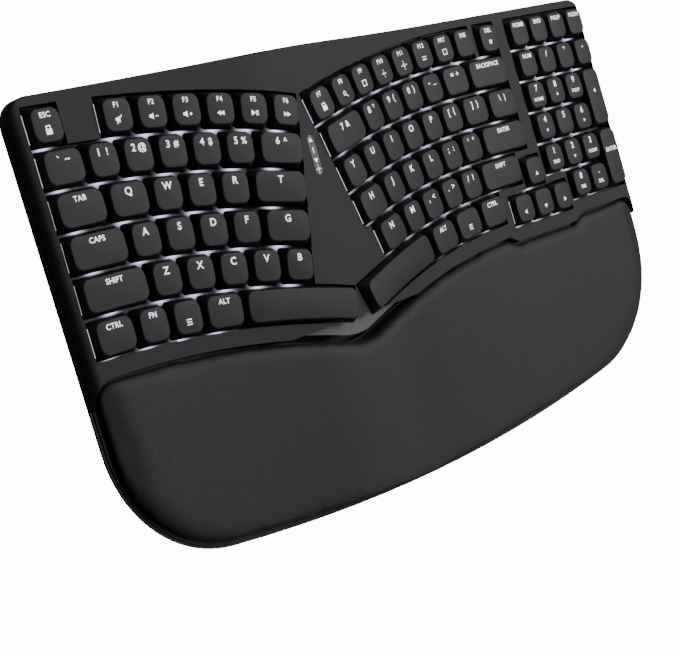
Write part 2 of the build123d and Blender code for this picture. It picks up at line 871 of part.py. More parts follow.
def pocket_block(place):
    width = leg_width + 2 * (leg_play + leg_pin_reach + leg_pocket_wall)
    length = leg_length + leg_thickness / 2 + 2 * (leg_play + leg_pocket_wall)
    height = leg_thickness + leg_play + leg_pocket_wall
    middle = place[1] + (leg_thickness / 2 - leg_length) / 2
    return Pos(place[0], middle, underside_height) * Box(
        width, length, height, align=(Align.CENTER, Align.CENTER, Align.MIN)
    )


def pocket(place):
    length = leg_length + leg_thickness / 2 + 2 * leg_play
    middle = place[1] + (leg_thickness / 2 - leg_length) / 2
    hollow = Pos(place[0], middle, 0) * Box(
        leg_width + 2 * leg_play, length, underside_height + leg_thickness + leg_play,
        align=(Align.CENTER, Align.CENTER, Align.MIN),
    )
    pin = Cylinder(leg_pin_radius + leg_pin_play, leg_width + 2 * (leg_play + leg_pin_reach))
    finger = Pos(place[0], place[1] - leg_length - leg_play, 0) * Box(
        leg_notch_width, leg_notch_depth, underside_height + leg_thickness + leg_play,
        align=(Align.CENTER, Align.MAX, Align.MIN),
    )
    return hollow + Pos(place[0], place[1], leg_pin_height()) * Rot(0, 90, 0) * pin + finger


def tilt_leg(place):
    plate = Box(leg_width, leg_length, leg_thickness, align=(Align.CENTER, Align.MAX, Align.CENTER))
    plate += Rot(0, 90, 0) * Cylinder(leg_thickness / 2, leg_width)
    plate += Rot(0, 90, 0) * Cylinder(leg_pin_radius, leg_width + 2 * leg_pin_reach)
    return Pos(place[0], place[1], leg_pin_height()) * plate


def write(name, solids):
    group = Compound(children=list(solids)) if isinstance(solids, (list, tuple)) else solids
    export_step(group, "parts/" + name + ".step")


def main():
    banks = all_keys()
    keys = [key for bank in banks.values() for key in bank]
    for bank, members in banks.items():
        write(bank + "_keycaps", in_banks(keycap, members))
        write(bank + "_stems", in_banks(stem, members))
    write("switch_housings", in_banks(switch_housing, keys))
    write("backlight_leds", in_banks(backlight, keys))
    write("top_case", top_case(keys))
    write("bottom_case", bottom_case())
    write("switch_plate", switch_plate(keys))
    left_board, right_board = circuit_boards()
    write("left_circuit_board", left_board)
    write("right_circuit_board", right_board)
    write("board_ribbon", board_ribbon())
    write("wrist_pad", wrist_pad())
    write("wrist_pad_base", wrist_pad_base())
    write("indicator_window", indicator_window())
    write("battery", battery())
    write("usb_socket", usb_socket())
    write("power_switch_frame", power_switch_frame())
    write("power_switch_slider", power_switch_slider())
    write("case_screws", case_screws())
    write("pad_screws", pad_screws())
    write("rubber_feet", rubber_feet())
    for side, place in zip(("left", "right"), leg_places()):
        write(side + "_tilt_leg", tilt_leg(place))


main()
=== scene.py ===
"""Looks of an ergonomic split keyboard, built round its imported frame. Lengths are in metres."""

import logging
import math
from dataclasses import dataclass, field
from enum import Enum
from typing import Callable, Sequence

import bpy
from mathutils import Matrix, Vector


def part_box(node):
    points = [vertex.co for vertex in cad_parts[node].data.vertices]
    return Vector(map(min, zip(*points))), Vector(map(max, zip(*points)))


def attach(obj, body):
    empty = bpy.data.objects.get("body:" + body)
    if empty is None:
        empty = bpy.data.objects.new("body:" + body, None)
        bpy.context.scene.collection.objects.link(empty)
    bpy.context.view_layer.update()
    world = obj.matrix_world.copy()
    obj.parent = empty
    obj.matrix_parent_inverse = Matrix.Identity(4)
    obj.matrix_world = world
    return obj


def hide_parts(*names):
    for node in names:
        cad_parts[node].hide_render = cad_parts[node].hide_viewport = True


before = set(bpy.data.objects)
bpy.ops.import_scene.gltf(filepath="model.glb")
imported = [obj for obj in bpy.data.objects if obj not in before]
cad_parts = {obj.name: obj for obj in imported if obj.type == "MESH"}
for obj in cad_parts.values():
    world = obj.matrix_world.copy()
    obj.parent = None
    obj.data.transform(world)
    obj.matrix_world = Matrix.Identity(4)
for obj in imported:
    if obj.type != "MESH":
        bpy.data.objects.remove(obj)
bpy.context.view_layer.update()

LOG = logging.getLogger("keyboard")
MM = 0.001
PHOTO_WIDTH = 679
# points that differ by less lie at one height or on one line
SAME = 0.001 * MM
# finer layers in a noise that looks like clouds
CLOUDY = 3.0

Triple = tuple[float, float, float]
Colour = Triple
Piece = bpy.types.Object
Material = bpy.types.Material
Socket = bpy.types.NodeSocket
BLACK: Colour = (0.0, 0.0, 0.0)


# Shader expressions


class Tone:
    """A number that varies over a surface and is worked with in plain expressions."""

    def __init__(self, paint: "Paint", socket: Socket) -> None:
        """Wraps an output socket of the material that is being made."""
        self.paint = paint
        self.socket = socket

    def _join(self, operation: str, *parts: "Tone | float") -> "Tone":
        """Adds one Math node and returns what it gives."""
        node = self.paint.node("ShaderNodeMath", dict(enumerate(parts)), operation=operation)
        return Tone(self.paint, node.outputs[0])

    def __add__(self, other: "Tone | float") -> "Tone":
        """Sum."""
        return self._join("ADD", self, other)

    def __sub__(self, other: "Tone | float") -> "Tone":
        """Difference."""
        return self._join("SUBTRACT", self, other)

    def __rsub__(self, other: "Tone | float") -> "Tone":
        """Difference from a number."""
        return self._join("SUBTRACT", other, self)

    def __mul__(self, other: "Tone | float") -> "Tone":
        """Product."""
        return self._join("MULTIPLY", self, other)

    def __truediv__(self, other: "Tone | float") -> "Tone":
        """Quotient."""
        return self._join("DIVIDE", self, other)

    def __pow__(self, other: "Tone | float") -> "Tone":
        """Power."""
        return self._join("POWER", self, other)

    def falling(self) -> "Tone":
        """e to the minus this number."""
        return self._join("EXPONENT", self * -1.0)

    def band(self, low: float, high: float) -> "Tone":
        """Smooth step from 0 to 1.

        Args:
            low: where the step starts.
            high: where it ends.

        Returns:
            The stepped number.
        """
        values = {"Value": self, "From Min": low, "From Max": high}
        node = self.paint.node("ShaderNodeMapRange", values, interpolation_type="SMOOTHSTEP")
        return Tone(self.paint, node.outputs["Result"])


class Paint:
    """One node-based material while it is made."""

    def __init__(self, name: str) -> None:
        """Starts an empty material with its shader.

        Args:
            name: what the material is called.
        """
        self.material = bpy.data.materials.new(name)
        self.material.use_nodes = True
        self.tree = self.material.node_tree
        self.tree.nodes.clear()
        output = self.node("ShaderNodeOutputMaterial")
        self.shader = self.node("ShaderNodeBsdfPrincipled")
        self.tree.links.new(self.shader.outputs[0], output.inputs[0])

    def node(
        self, kind: str, values: dict[object, object] | None = None, **settings: object
    ) -> bpy.types.Node:
        """Adds a node.

        Args:
            kind: the node's type.
            values: a number, colour or link for each named or numbered input.
            settings: its own settings, made before its sockets are filled.

        Returns:
            The new node.
        """
        node = self.tree.nodes.new(kind)
        for key, value in settings.items():
            setattr(node, key, value)
        for key, value in (values or {}).items():
            self.fill(node.inputs[key], value)
        return node

    def fill(self, socket: Socket, value: object) -> None:
        """Links or sets one input socket.

        Args:
            socket: the input.
            value: a varying number, an output socket or a constant.
        """
        source = value.socket if isinstance(value, Tone) else value
        if isinstance(source, Socket):
            self.tree.links.new(source, socket)
        else:
            socket.default_value = source

    def place(self) -> Socket:
        """The point on the piece, in the piece's own coordinates."""
        return self.node("ShaderNodeTexCoord").outputs["Object"]

    def map_of(self, name: str) -> tuple[Tone, Tone]:
        """The two coordinates of one of the piece's own maps.

        Args:
            name: what the map is called.

        Returns:
            The numbers across and up.
        """
        uv = self.node("ShaderNodeUVMap", uv_map=name)
        parts = self.node("ShaderNodeSeparateXYZ", {0: uv.outputs[0]})
        return Tone(self, parts.outputs[0]), Tone(self, parts.outputs[1])

    def trait(self, name: str) -> Tone:
        """A number kept on the piece's points."""
        return Tone(self, self.node("ShaderNodeAttribute", attribute_name=name).outputs["Fac"])

    def noise(self, scale: float, detail: float = 2.0, roughness: float = 0.5) -> Tone:
        """Cloudy noise around one half: waves to the metre, finer layers and their strength."""
        values = {"Vector": self.place(), "Scale": scale, "Detail": detail, "Roughness": roughness}
        return Tone(self, self.node("ShaderNodeTexNoise", values).outputs[0])

    def cells(self, scale: float, feature: str = "F1") -> Tone:
        """Distances in a pattern of cells, for leather grain."""
        values = {"Vector": self.place(), "Scale": scale}
        return Tone(self, self.node("ShaderNodeTexVoronoi", values, feature=feature).outputs[0])

    def between(
        self, low: Colour | Socket, high: Colour | Socket, share: Tone
    ) -> Socket:
        """Mixes two colours.

        Args:
            low: the colour where the share is 0.
            high: the colour where it is 1.
            share: how much there is of the second.

        Returns:
            The mixed colour.
        """
        ends = [(*end, 1.0) if isinstance(end, tuple) else end for end in (low, high)]
        values = {"Factor": share, 6: ends[0], 7: ends[1]}
        return self.node("ShaderNodeMix", values, data_type="RGBA").outputs[2]

    def raised(self, height: Tone, distance: float, strength: float = 1.0) -> None:
        """Raises the surface by a pattern from 0 to 1, where 1 stands a distance high."""
        values = {"Height": height, "Distance": distance, "Strength": strength}
        self.fill(self.shader.inputs["Normal"], self.node("ShaderNodeBump", values).outputs[0])

    def set(self, **values: object) -> None:
        """Sets the shader's sockets by their names, with _ for a space."""
        for key, value in values.items():
            self.fill(self.shader.inputs[key.replace("_", " ")], value)


# Finishes


def grey(level: float, blue: float | None = None) -> Colour:
    """A grey, with its own blue where one is given."""
    return (level, level, level if blue is None else blue)


@dataclass(frozen=True)
class Finish:
    """A named material."""

    name: str

    def coat(self, paint: Paint) -> None:
        """Fills the shader, which every finish does in its own way.

        Args:
            paint: the material being made.
        """
        raise NotImplementedError

    def material(self) -> Material:
        """Makes the material.

        Returns:
            The new material.
        """
        paint = Paint(self.name)
        self.coat(paint)
        return paint.material


@dataclass(frozen=True)
class PaintedSideShade:
    """Painted shade: a darker colour down the two sides of the case, outside the keys."""

    left: float
    right: float
    blend: float = 1.2 * MM
    # colour of the painted shade
    colour: Colour = grey(0.0028, 0.0030)

    def over(self, paint: Paint, colour: Socket) -> Socket:
        """Lays the painted shade's colour over another one.

        Args:
            paint: the material being made.
            colour: the colour between the two shaded sides.

        Returns:
            Both colours, each in its place.
        """
        x = Tone(paint, paint.node("ShaderNodeSeparateXYZ", {0: paint.place()}).outputs[0])
        past_left = x.band(self.left - self.blend, self.left)
        past_right = x.band(self.right, self.right + self.blend)
        # painted shade outside the left and right ends of the keys
        return paint.between(self.colour, colour, past_left * (1.0 - past_right))


@dataclass(frozen=True)
class MouldedPlastic(Finish):
    """Plastic from a spark-eroded mould, with a fine even grain."""

    low: Colour
    high: Colour
    roughness: float = 0.5
    grain: float = 2600.0
    relief: float = 0.03 * MM
    specular: float = 0.4
    # painted shade down the case's sides, where there is one
    side_shade: PaintedSideShade | None = None
    coarser: float = 60.0
    mottle: tuple[float, float] = (0.35, 0.65)
    gloss_range: float = 0.16

    def coat(self, paint: Paint) -> None:
        """Lays a coarse and a fine grain over each other.

        Args:
            paint: the material being made.
        """
        cloud = paint.noise(self.grain / self.coarser, CLOUDY)
        fine = paint.noise(self.grain)
        share = (cloud * 0.5 + fine * 0.5).band(*self.mottle)
        colour = paint.between(self.low, self.high, share)
        paint.set(
            Base_Color=self.side_shade.over(paint, colour) if self.side_shade else colour,
            Roughness=(fine - 0.5) * self.gloss_range + self.roughness,
            Specular_IOR_Level=self.specular,
        )
        paint.raised(fine, self.relief)


@dataclass(frozen=True)
class GrainedLeather(Finish):
    """Artificial leather with a very fine pebble grain."""

    low: Colour
    high: Colour
    roughness: float = 0.5
    pebble: float = 1500.0
    crease: float = 675.0
    crease_width: float = 0.10
    cloud: float = 28.0
    mottle: tuple[float, float] = (0.3, 0.7)
    pebble_middle: float = 0.4
    pebble_gloss: float = 0.12
    cloud_gloss: float = 0.06
    specular: float = 0.22
    sheen: float = 0.01
    sheen_roughness: float = 0.5
    pebble_share: float = 0.7
    relief: float = 0.05 * MM
    relief_strength: float = 0.8

    def coat(self, paint: Paint) -> None:
        """Lays pebbles and the creases between them over slow clouds.

        Args:
            paint: the material being made.
        """
        pebbles = paint.cells(self.pebble)
        creases = paint.cells(self.crease, "DISTANCE_TO_EDGE").band(0.0, self.crease_width)
        cloud = paint.noise(self.cloud, CLOUDY)
        gloss = (pebbles - self.pebble_middle) * self.pebble_gloss + cloud * self.cloud_gloss
        paint.set(
            Base_Color=paint.between(self.low, self.high, cloud.band(*self.mottle)),
            Roughness=gloss + self.roughness,
            Specular_IOR_Level=self.specular,
            Sheen_Weight=self.sheen,
            Sheen_Roughness=self.sheen_roughness,
        )
        height = (1.0 - pebbles) * self.pebble_share + creases * (1.0 - self.pebble_share)
        paint.raised(height, self.relief, self.relief_strength)


class Side(Enum):
    """Which way a face of a keycap looks."""

    TOP = "top"
    FRONT = "front"
    REAR = "rear"
    FLANK = "flank"


@dataclass(frozen=True)
class LitSkirt(Finish):
    """Glossy side of a keycap, with the lamp's light painted as a glow along its lower edge."""

    reach: float
    spread: float
    strength: float
    edge: float = 0.0
    middle: float = 0.5
    core_edge: float = 0.02
    halo_edge: float = 0.03
    halo_size: float = 3.0
    tint: Colour = (0.74, 0.78, 1.0)
    haze: Colour = (0.05, 0.04, 0.16)
    low: Colour = grey(0.003, 0.004)
    high: Colour = grey(0.005, 0.006)
    roughness: float = 0.32
    gloss_range: float = 0.1
    grain: float = 2200.0
    specular: float = 0.35

    def coat(self, paint: Paint) -> None:
        """Paints a lens of light as a glow, with a bright core in a bluish halo.

        Args:
            paint: the material being made.
        """
        across, up = paint.map_of("skirt")
        aside = ((across - self.middle) / self.spread) ** 2.0
        lens = aside.falling() + self.edge
        core = (up / (lens * self.reach + self.core_edge)) ** 2.0
        halo = (up / (lens * self.reach * self.halo_size + self.halo_edge)) ** 2.0
        light = paint.between(self.haze, self.tint, core.falling() * lens)
        fine = paint.noise(self.grain)
        paint.set(
            Base_Color=paint.between(self.low, self.high, fine),
            Roughness=(fine - 0.5) * self.gloss_range + self.roughness,
            Specular_IOR_Level=self.specular,
            # painted light: the skirt glows where the lamps' light falls on its lower edge
            Emission_Color=paint.between(BLACK, light, halo.falling() * lens),
            Emission_Strength=self.strength,
        )


@dataclass(frozen=True)
class LightFilm(Finish):
    """Thin sheet over the switch plate, which glows with painted pools of the lamps' light."""

    strength: float
    tint: Colour = (0.66, 0.70, 1.0)
    low: Colour = grey(0.03, 0.035)
    high: Colour = grey(0.05, 0.055)
    grain: float = 900.0
    roughness: float = 0.4
    gloss_range: float = 0.2

    def coat(self, paint: Paint) -> None:
        """Paints the lamps' light on the film as a glow where its points say so.

        Args:
            paint: the material being made.
        """
        glow = paint.trait("glow")
        fine = paint.noise(self.grain)
        paint.set(
            Base_Color=paint.between(self.low, self.high, fine),
            Roughness=fine * self.gloss_range + self.roughness,
            Emission_Color=paint.between(BLACK, self.tint, glow),
            Emission_Strength=self.strength,
        )


@dataclass(frozen=True)
class Metal(Finish):
    """Plated or drawn metal with faint run marks."""

    colour: Colour
    roughness: float = 0.3
    run: float = 600.0
    harsh: float = 0.7
    worn: float = 0.8
    gloss_range: float = 0.2
    relief: float = 0.01 * MM

    def coat(self, paint: Paint) -> None:
        """Dulls the metal along its run marks.

        Args:
            paint: the material being made.
        """
        run = paint.noise(self.run, CLOUDY, self.harsh)
        worn = tuple(self.worn * part for part in self.colour)
        paint.set(
            Base_Color=paint.between(worn, self.colour, run),
            Metallic=1.0,
            Roughness=(run - 0.5) * self.gloss_range + self.roughness,
        )
        paint.raised(run, self.relief)


@dataclass(frozen=True)
class LitPaint(Finish):
    """Even colour that glows: a legend, a lens, the studio's floor or a painted highlight."""

    colour: Colour = (0.82, 0.84, 0.88)
    strength: float = 1.2
    faded: Colour = (0.738, 0.756, 0.792)
    grain: float = 1500.0
    roughness: float = 0.4
    gloss_range: float = 0.1

    def coat(self, paint: Paint) -> None:
        """Lights the colour evenly.

        Args:
            paint: the material being made.
        """
        fine = paint.noise(self.grain)
        lit = paint.between(self.faded, self.colour, fine)
        gloss = fine * self.gloss_range + self.roughness
        paint.set(Base_Color=lit, Roughness=gloss, Emission_Color=lit)
        paint.set(Emission_Strength=self.strength)


# Layout of the keys


@dataclass(frozen=True)
class Ridge:
    """The raised middle that the keys, bezel and boards follow: a round crown on hollow flanks."""

    x: float = -52.223 * MM
    height: float = 8.5 * MM
    crown_run: float = 33.8 * MM
    run: float = 130.2 * MM

    @property
    def turn(self) -> float:
        """Steepest slope of the flanks, in radians."""
        return 2 * math.atan(self.height / self.run)

    @property
    def crown(self) -> float:
        """Radius of the crown."""
        return self.crown_run / math.sin(self.turn)

    @property
    def flank(self) -> float:
        """Radius of the flanks."""
        return (self.run - self.crown_run) / math.sin(self.turn)

    def rise(self, x: float) -> float:
        """How far the surface stands up.

        Args:
            x: a place along the keyboard.

        Returns:
            The height over the flat ends.
        """
        away = abs(x - self.x)
        if away < self.crown_run:
            return self.height - self.crown + math.sqrt(self.crown**2 - away**2)
        if away < self.run:
            return self.flank - math.sqrt(self.flank**2 - (self.run - away) ** 2)
        return 0.0

    def slope(self, x: float) -> float:
        """Slope of the surface along the keyboard.

        Args:
            x: a place along the keyboard.

        Returns:
            The angle in radians, above 0 where the surface rises to the right.
        """
        away = abs(x - self.x)
        angle = 0.0
        if away < self.crown_run:
            angle = math.asin(away / self.crown)
        elif away < self.run:
            angle = math.asin((self.run - away) / self.flank)
        return angle if x < self.x else -angle


@dataclass(frozen=True)
class Spot:
    """Where one key stands, how large its cell is, and the radius of a bent bar."""

    x: float
    y: float
    heading: float
    width: float
    depth: float
    bend: float = 0.0


@dataclass(frozen=True)
class Arch:
    """Half of the letter rows: concentric arcs that start straight at the outer end."""

    outer: float
    side: int
    straight: float


@dataclass
class KeyField:
    """All keys by bank, in the frame of the case."""

    ridge: Ridge = field(default_factory=Ridge)
    pitch: float = 19.0 * MM
    front: float = 5.5 * MM
    left: float = -207.1 * MM
    width: float = 417.0 * MM
    row_radius: float = 493.0 * MM
    left_straight: float = 3.8 * MM
    right_straight: float = 25.7 * MM
    block: float = 330.7 * MM
    numpad: float = 341.0 * MM
    arrows: float = 300.3 * MM
    arrow_drop: float = 4.1 * MM
    key_top: float = 19.0 * MM
    bezel_drop: float = 3.0 * MM

    def arches(self) -> dict[str, tuple[Arch, int, float, tuple[float, ...]]]:
        """Rows of the two halves, from the outer end inwards.

        Returns:
            For each bank its arch, row and start, and its keys' widths as shares of the pitch,
            with a gap below 0.
        """
        left = Arch(self.left, 1, self.left_straight)
        right = Arch(self.left + self.block, -1, self.right_straight)
        return {
            "left_function": (left, 5, 0.0, (1, -1, 1, 1, 1, 1, 1, 1)),
            "left_number": (left, 4, 0.0, (1.25, 1, 1, 1, 1, 1, 1.5)),
            "left_upper": (left, 3, 0.0, (1.5, 1.25, 1, 1, 1, 1.75)),
            "left_home": (left, 2, 0.0, (1.75, 1, 1, 1, 1, 1.5)),
            "left_lower": (left, 1, 0.0, (2, 1, 1, 1, 1, 1)),
            "left_modifier": (left, 0, 0.0, (1.25, 1, 1, 1.25)),
            "left_space": (left, 0, 4.5, (3.6,)),
            "right_function": (right, 5, 0.0, (1, -0.22, 1, 1, 1, 1, 1, 1, 1, 1)),
            "right_number": (right, 4, 0.0, (1.95, 1.25, 1, 1, 1, 1, 1.75)),
            "right_upper": (right, 3, 0.0, (1.45, 1.25, 1, 1, 1, 1, 1, 1)),
            "right_home": (right, 2, 0.0, (2.2, 1, 1, 1, 1, 1, 1.25)),
            "right_lower": (right, 1, 0.7, (2, 1, 1, 1, 1, 1.25)),
            "right_modifier": (right, 0, 1.95, (1.25, 1.25, 1.25)),
            "right_space": (right, 0, 5.7, (3.5,)),
        }

    def blocks(self) -> dict[str, tuple[float, float, list[tuple[float, ...]]]]:
        """Straight blocks.

        Returns:
            For each bank its left edge and drop, and each key's column, row, width and depth.
        """
        digits = [(c, r, 1, 1) for r in (3, 2, 1) for c in (0, 1, 2)] + [(1, 0, 1, 1), (2, 0, 1, 1)]
        arrows = [(1, 1, 1, 1), (0, 0, 1, 1), (1, 0, 1, 1), (2, 0, 1, 1)]
        return {
            "navigation": (self.numpad, 0.0, [(c, 5, 1, 1) for c in range(4)]),
            "numpad_operator": (self.numpad, 0.0, [(c, 4, 1, 1) for c in range(4)]),
            "numpad_digit": (self.numpad, 0.0, digits),
            "numpad_plus": (self.numpad, 0.0, [(3, 2.5, 1, 2)]),
            "numpad_enter": (self.numpad, 0.0, [(3, 0.5, 1, 2)]),
            "arrow": (self.arrows, self.arrow_drop, arrows),
        }

    def banks(self) -> dict[str, list[Spot]]:
        """Works out where every key stands.

        Returns:
            The spots of each bank, in the order of its keys.
        """
        found: dict[str, list[Spot]] = {}
        pitch = self.pitch
        for bank, (arch, row, start, shares) in self.arches().items():
            radius = self.row_radius + row * pitch
            bend = radius if bank.endswith("space") else 0.0
            run = start * pitch
            found[bank] = []
            for share in shares:
                width = abs(share) * pitch
                middle = run + width / 2
                run += width
                turn = max(middle - arch.straight, 0.0) / radius
                x = arch.outer + arch.side * (min(middle, arch.straight) + radius * math.sin(turn))
                y = self.front - self.row_radius + radius * math.cos(turn)
                if share > 0:
                    found[bank].append(Spot(x, y, -arch.side * turn, width, pitch, bend))
        for bank, (left, drop, places) in self.blocks().items():
            found[bank] = []
            for c, r, w, d in places:
                x, y = self.left + left + (c + 0.5) * pitch, self.front - drop + r * pitch
                found[bank].append(Spot(x, y, 0.0, w * pitch, d * pitch))
        return found

    def spots(self) -> list[Spot]:
        """Every key's place."""
        return [spot for bank in self.banks().values() for spot in bank]

    def stand(self, spot: Spot) -> Matrix:
        """Works out a key's own frame.

        Args:
            spot: the key's place.

        Returns:
            The frame: origin in the middle of the cap's top, Z square to the cap.
        """
        seat = self.key_top - self.bezel_drop + self.ridge.rise(spot.x)
        tilt = Matrix.Rotation(-self.ridge.slope(spot.x), 4, "Y")
        turn = Matrix.Rotation(spot.heading, 4, "Z")
        lift = Matrix.Translation((0, 0, self.bezel_drop))
        return Matrix.Translation((spot.x, spot.y, seat)) @ tilt @ turn @ lift


# Modelling tools


class Bench:
    """Where meshes are shaped with the edit tools."""

    @staticmethod
    def clear() -> None:
        """Leaves edit mode and deselects everything."""
        if bpy.context.object and bpy.context.object.mode != "OBJECT":
            bpy.ops.object.mode_set(mode="OBJECT")
        bpy.ops.object.select_all(action="DESELECT")

    @staticmethod
    def take(*pieces: Piece) -> Piece:
        """Selects pieces.

        Args:
            pieces: the pieces, with the one to be active first.

        Returns:
            The active one.
        """
        Bench.clear()
        for piece in pieces:
            piece.select_set(True)
        bpy.context.view_layer.objects.active = pieces[0]
        return pieces[0]

    @staticmethod
    def edit(piece: Piece, mode: str = "VERT") -> None:
        """Opens a piece in edit mode with everything on it selected.

        Args:
            piece: the piece.
            mode: the kind of selection: VERT, EDGE or FACE.
        """
        Bench.take(piece)
        bpy.ops.object.mode_set(mode="EDIT")
        bpy.ops.mesh.select_mode(type=mode)
        bpy.ops.mesh.select_all(action="SELECT")

    @staticmethod
    def pick(piece: Piece, mode: str, test: Callable[[object], bool]) -> None:
        """Selects the points, edges or faces that pass a test, in edit mode.

        Args:
            piece: the piece that is open.
            mode: VERT, EDGE or FACE.
            test: what each of them has to pass.
        """
        bpy.ops.object.mode_set(mode="OBJECT")
        mesh = piece.data
        groups = {"VERT": mesh.vertices, "EDGE": mesh.edges, "FACE": mesh.polygons}
        for group in groups.values():
            group.foreach_set("select", [False] * len(group))
        for item in groups[mode]:
            if test(item):
                item.select = True
                for index in () if mode == "VERT" else item.vertices:
                    mesh.vertices[index].select = True
        bpy.ops.object.mode_set(mode="EDIT")
        bpy.ops.mesh.select_mode(type=mode)

    @staticmethod
    def copy(piece: Piece, place: Matrix) -> Piece:
        """Copies a piece, with its own mesh.

        Args:
            piece: what is copied.
            place: where the copy goes.

        Returns:
            The copy.
        """
        twin = piece.copy()
        twin.data = piece.data.copy()
        twin.data.transform(place)
        bpy.context.scene.collection.objects.link(twin)
        return twin

    @staticmethod
    def join(name: str, pieces: Sequence[Piece]) -> Piece:
        """Joins pieces into one, with its origin at the frame's.

        Args:
            name: what the whole is called.
            pieces: the pieces.

        Returns:
            The whole.
        """
        whole = Bench.take(*pieces)
        if len(pieces) > 1:
            bpy.ops.object.join()
        bpy.ops.object.transform_apply(location=True, rotation=True, scale=True)
        whole.name = name
        whole.data.name = name
        Bench.clear()
        return whole

    @staticmethod
    def modify(piece: Piece, kind: str, **settings: object) -> None:
        """Adds one modifier and applies it.

        Args:
            piece: the piece.
            kind: the modifier's type.
            settings: its settings.
        """
        Bench.take(piece)
        modifier = piece.modifiers.new(kind.lower(), kind)
        for key, value in settings.items():
            setattr(modifier, key, value)
        bpy.ops.object.modifier_apply(modifier=modifier.name)

    @staticmethod
    def dress(piece: Piece, *materials: Material) -> None:
        """Gives a piece its materials.

        Args:
            piece: the piece.
            materials: what its slots hold, in order.
        """
        piece.data.materials.clear()
        for material in materials:
            piece.data.materials.append(material)

    @staticmethod
    def deliver(name: str, pieces: Sequence[Piece], body: str, *materials: Material) -> Piece:
        """Joins pieces into one finished piece that rides on a body.

        Args:
            name: what the whole is called.
            pieces: the pieces.
            body: what it rides on.
            materials: what its slots hold, in order.

        Returns:
            The whole.
        """
        whole = Bench.join(name, pieces)
        Bench.dress(whole, *materials)
        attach(whole, body)
        LOG.info("%s on %s: %d made, %d faces", name, body, len(pieces), len(whole.data.polygons))
        return whole


# Keycaps


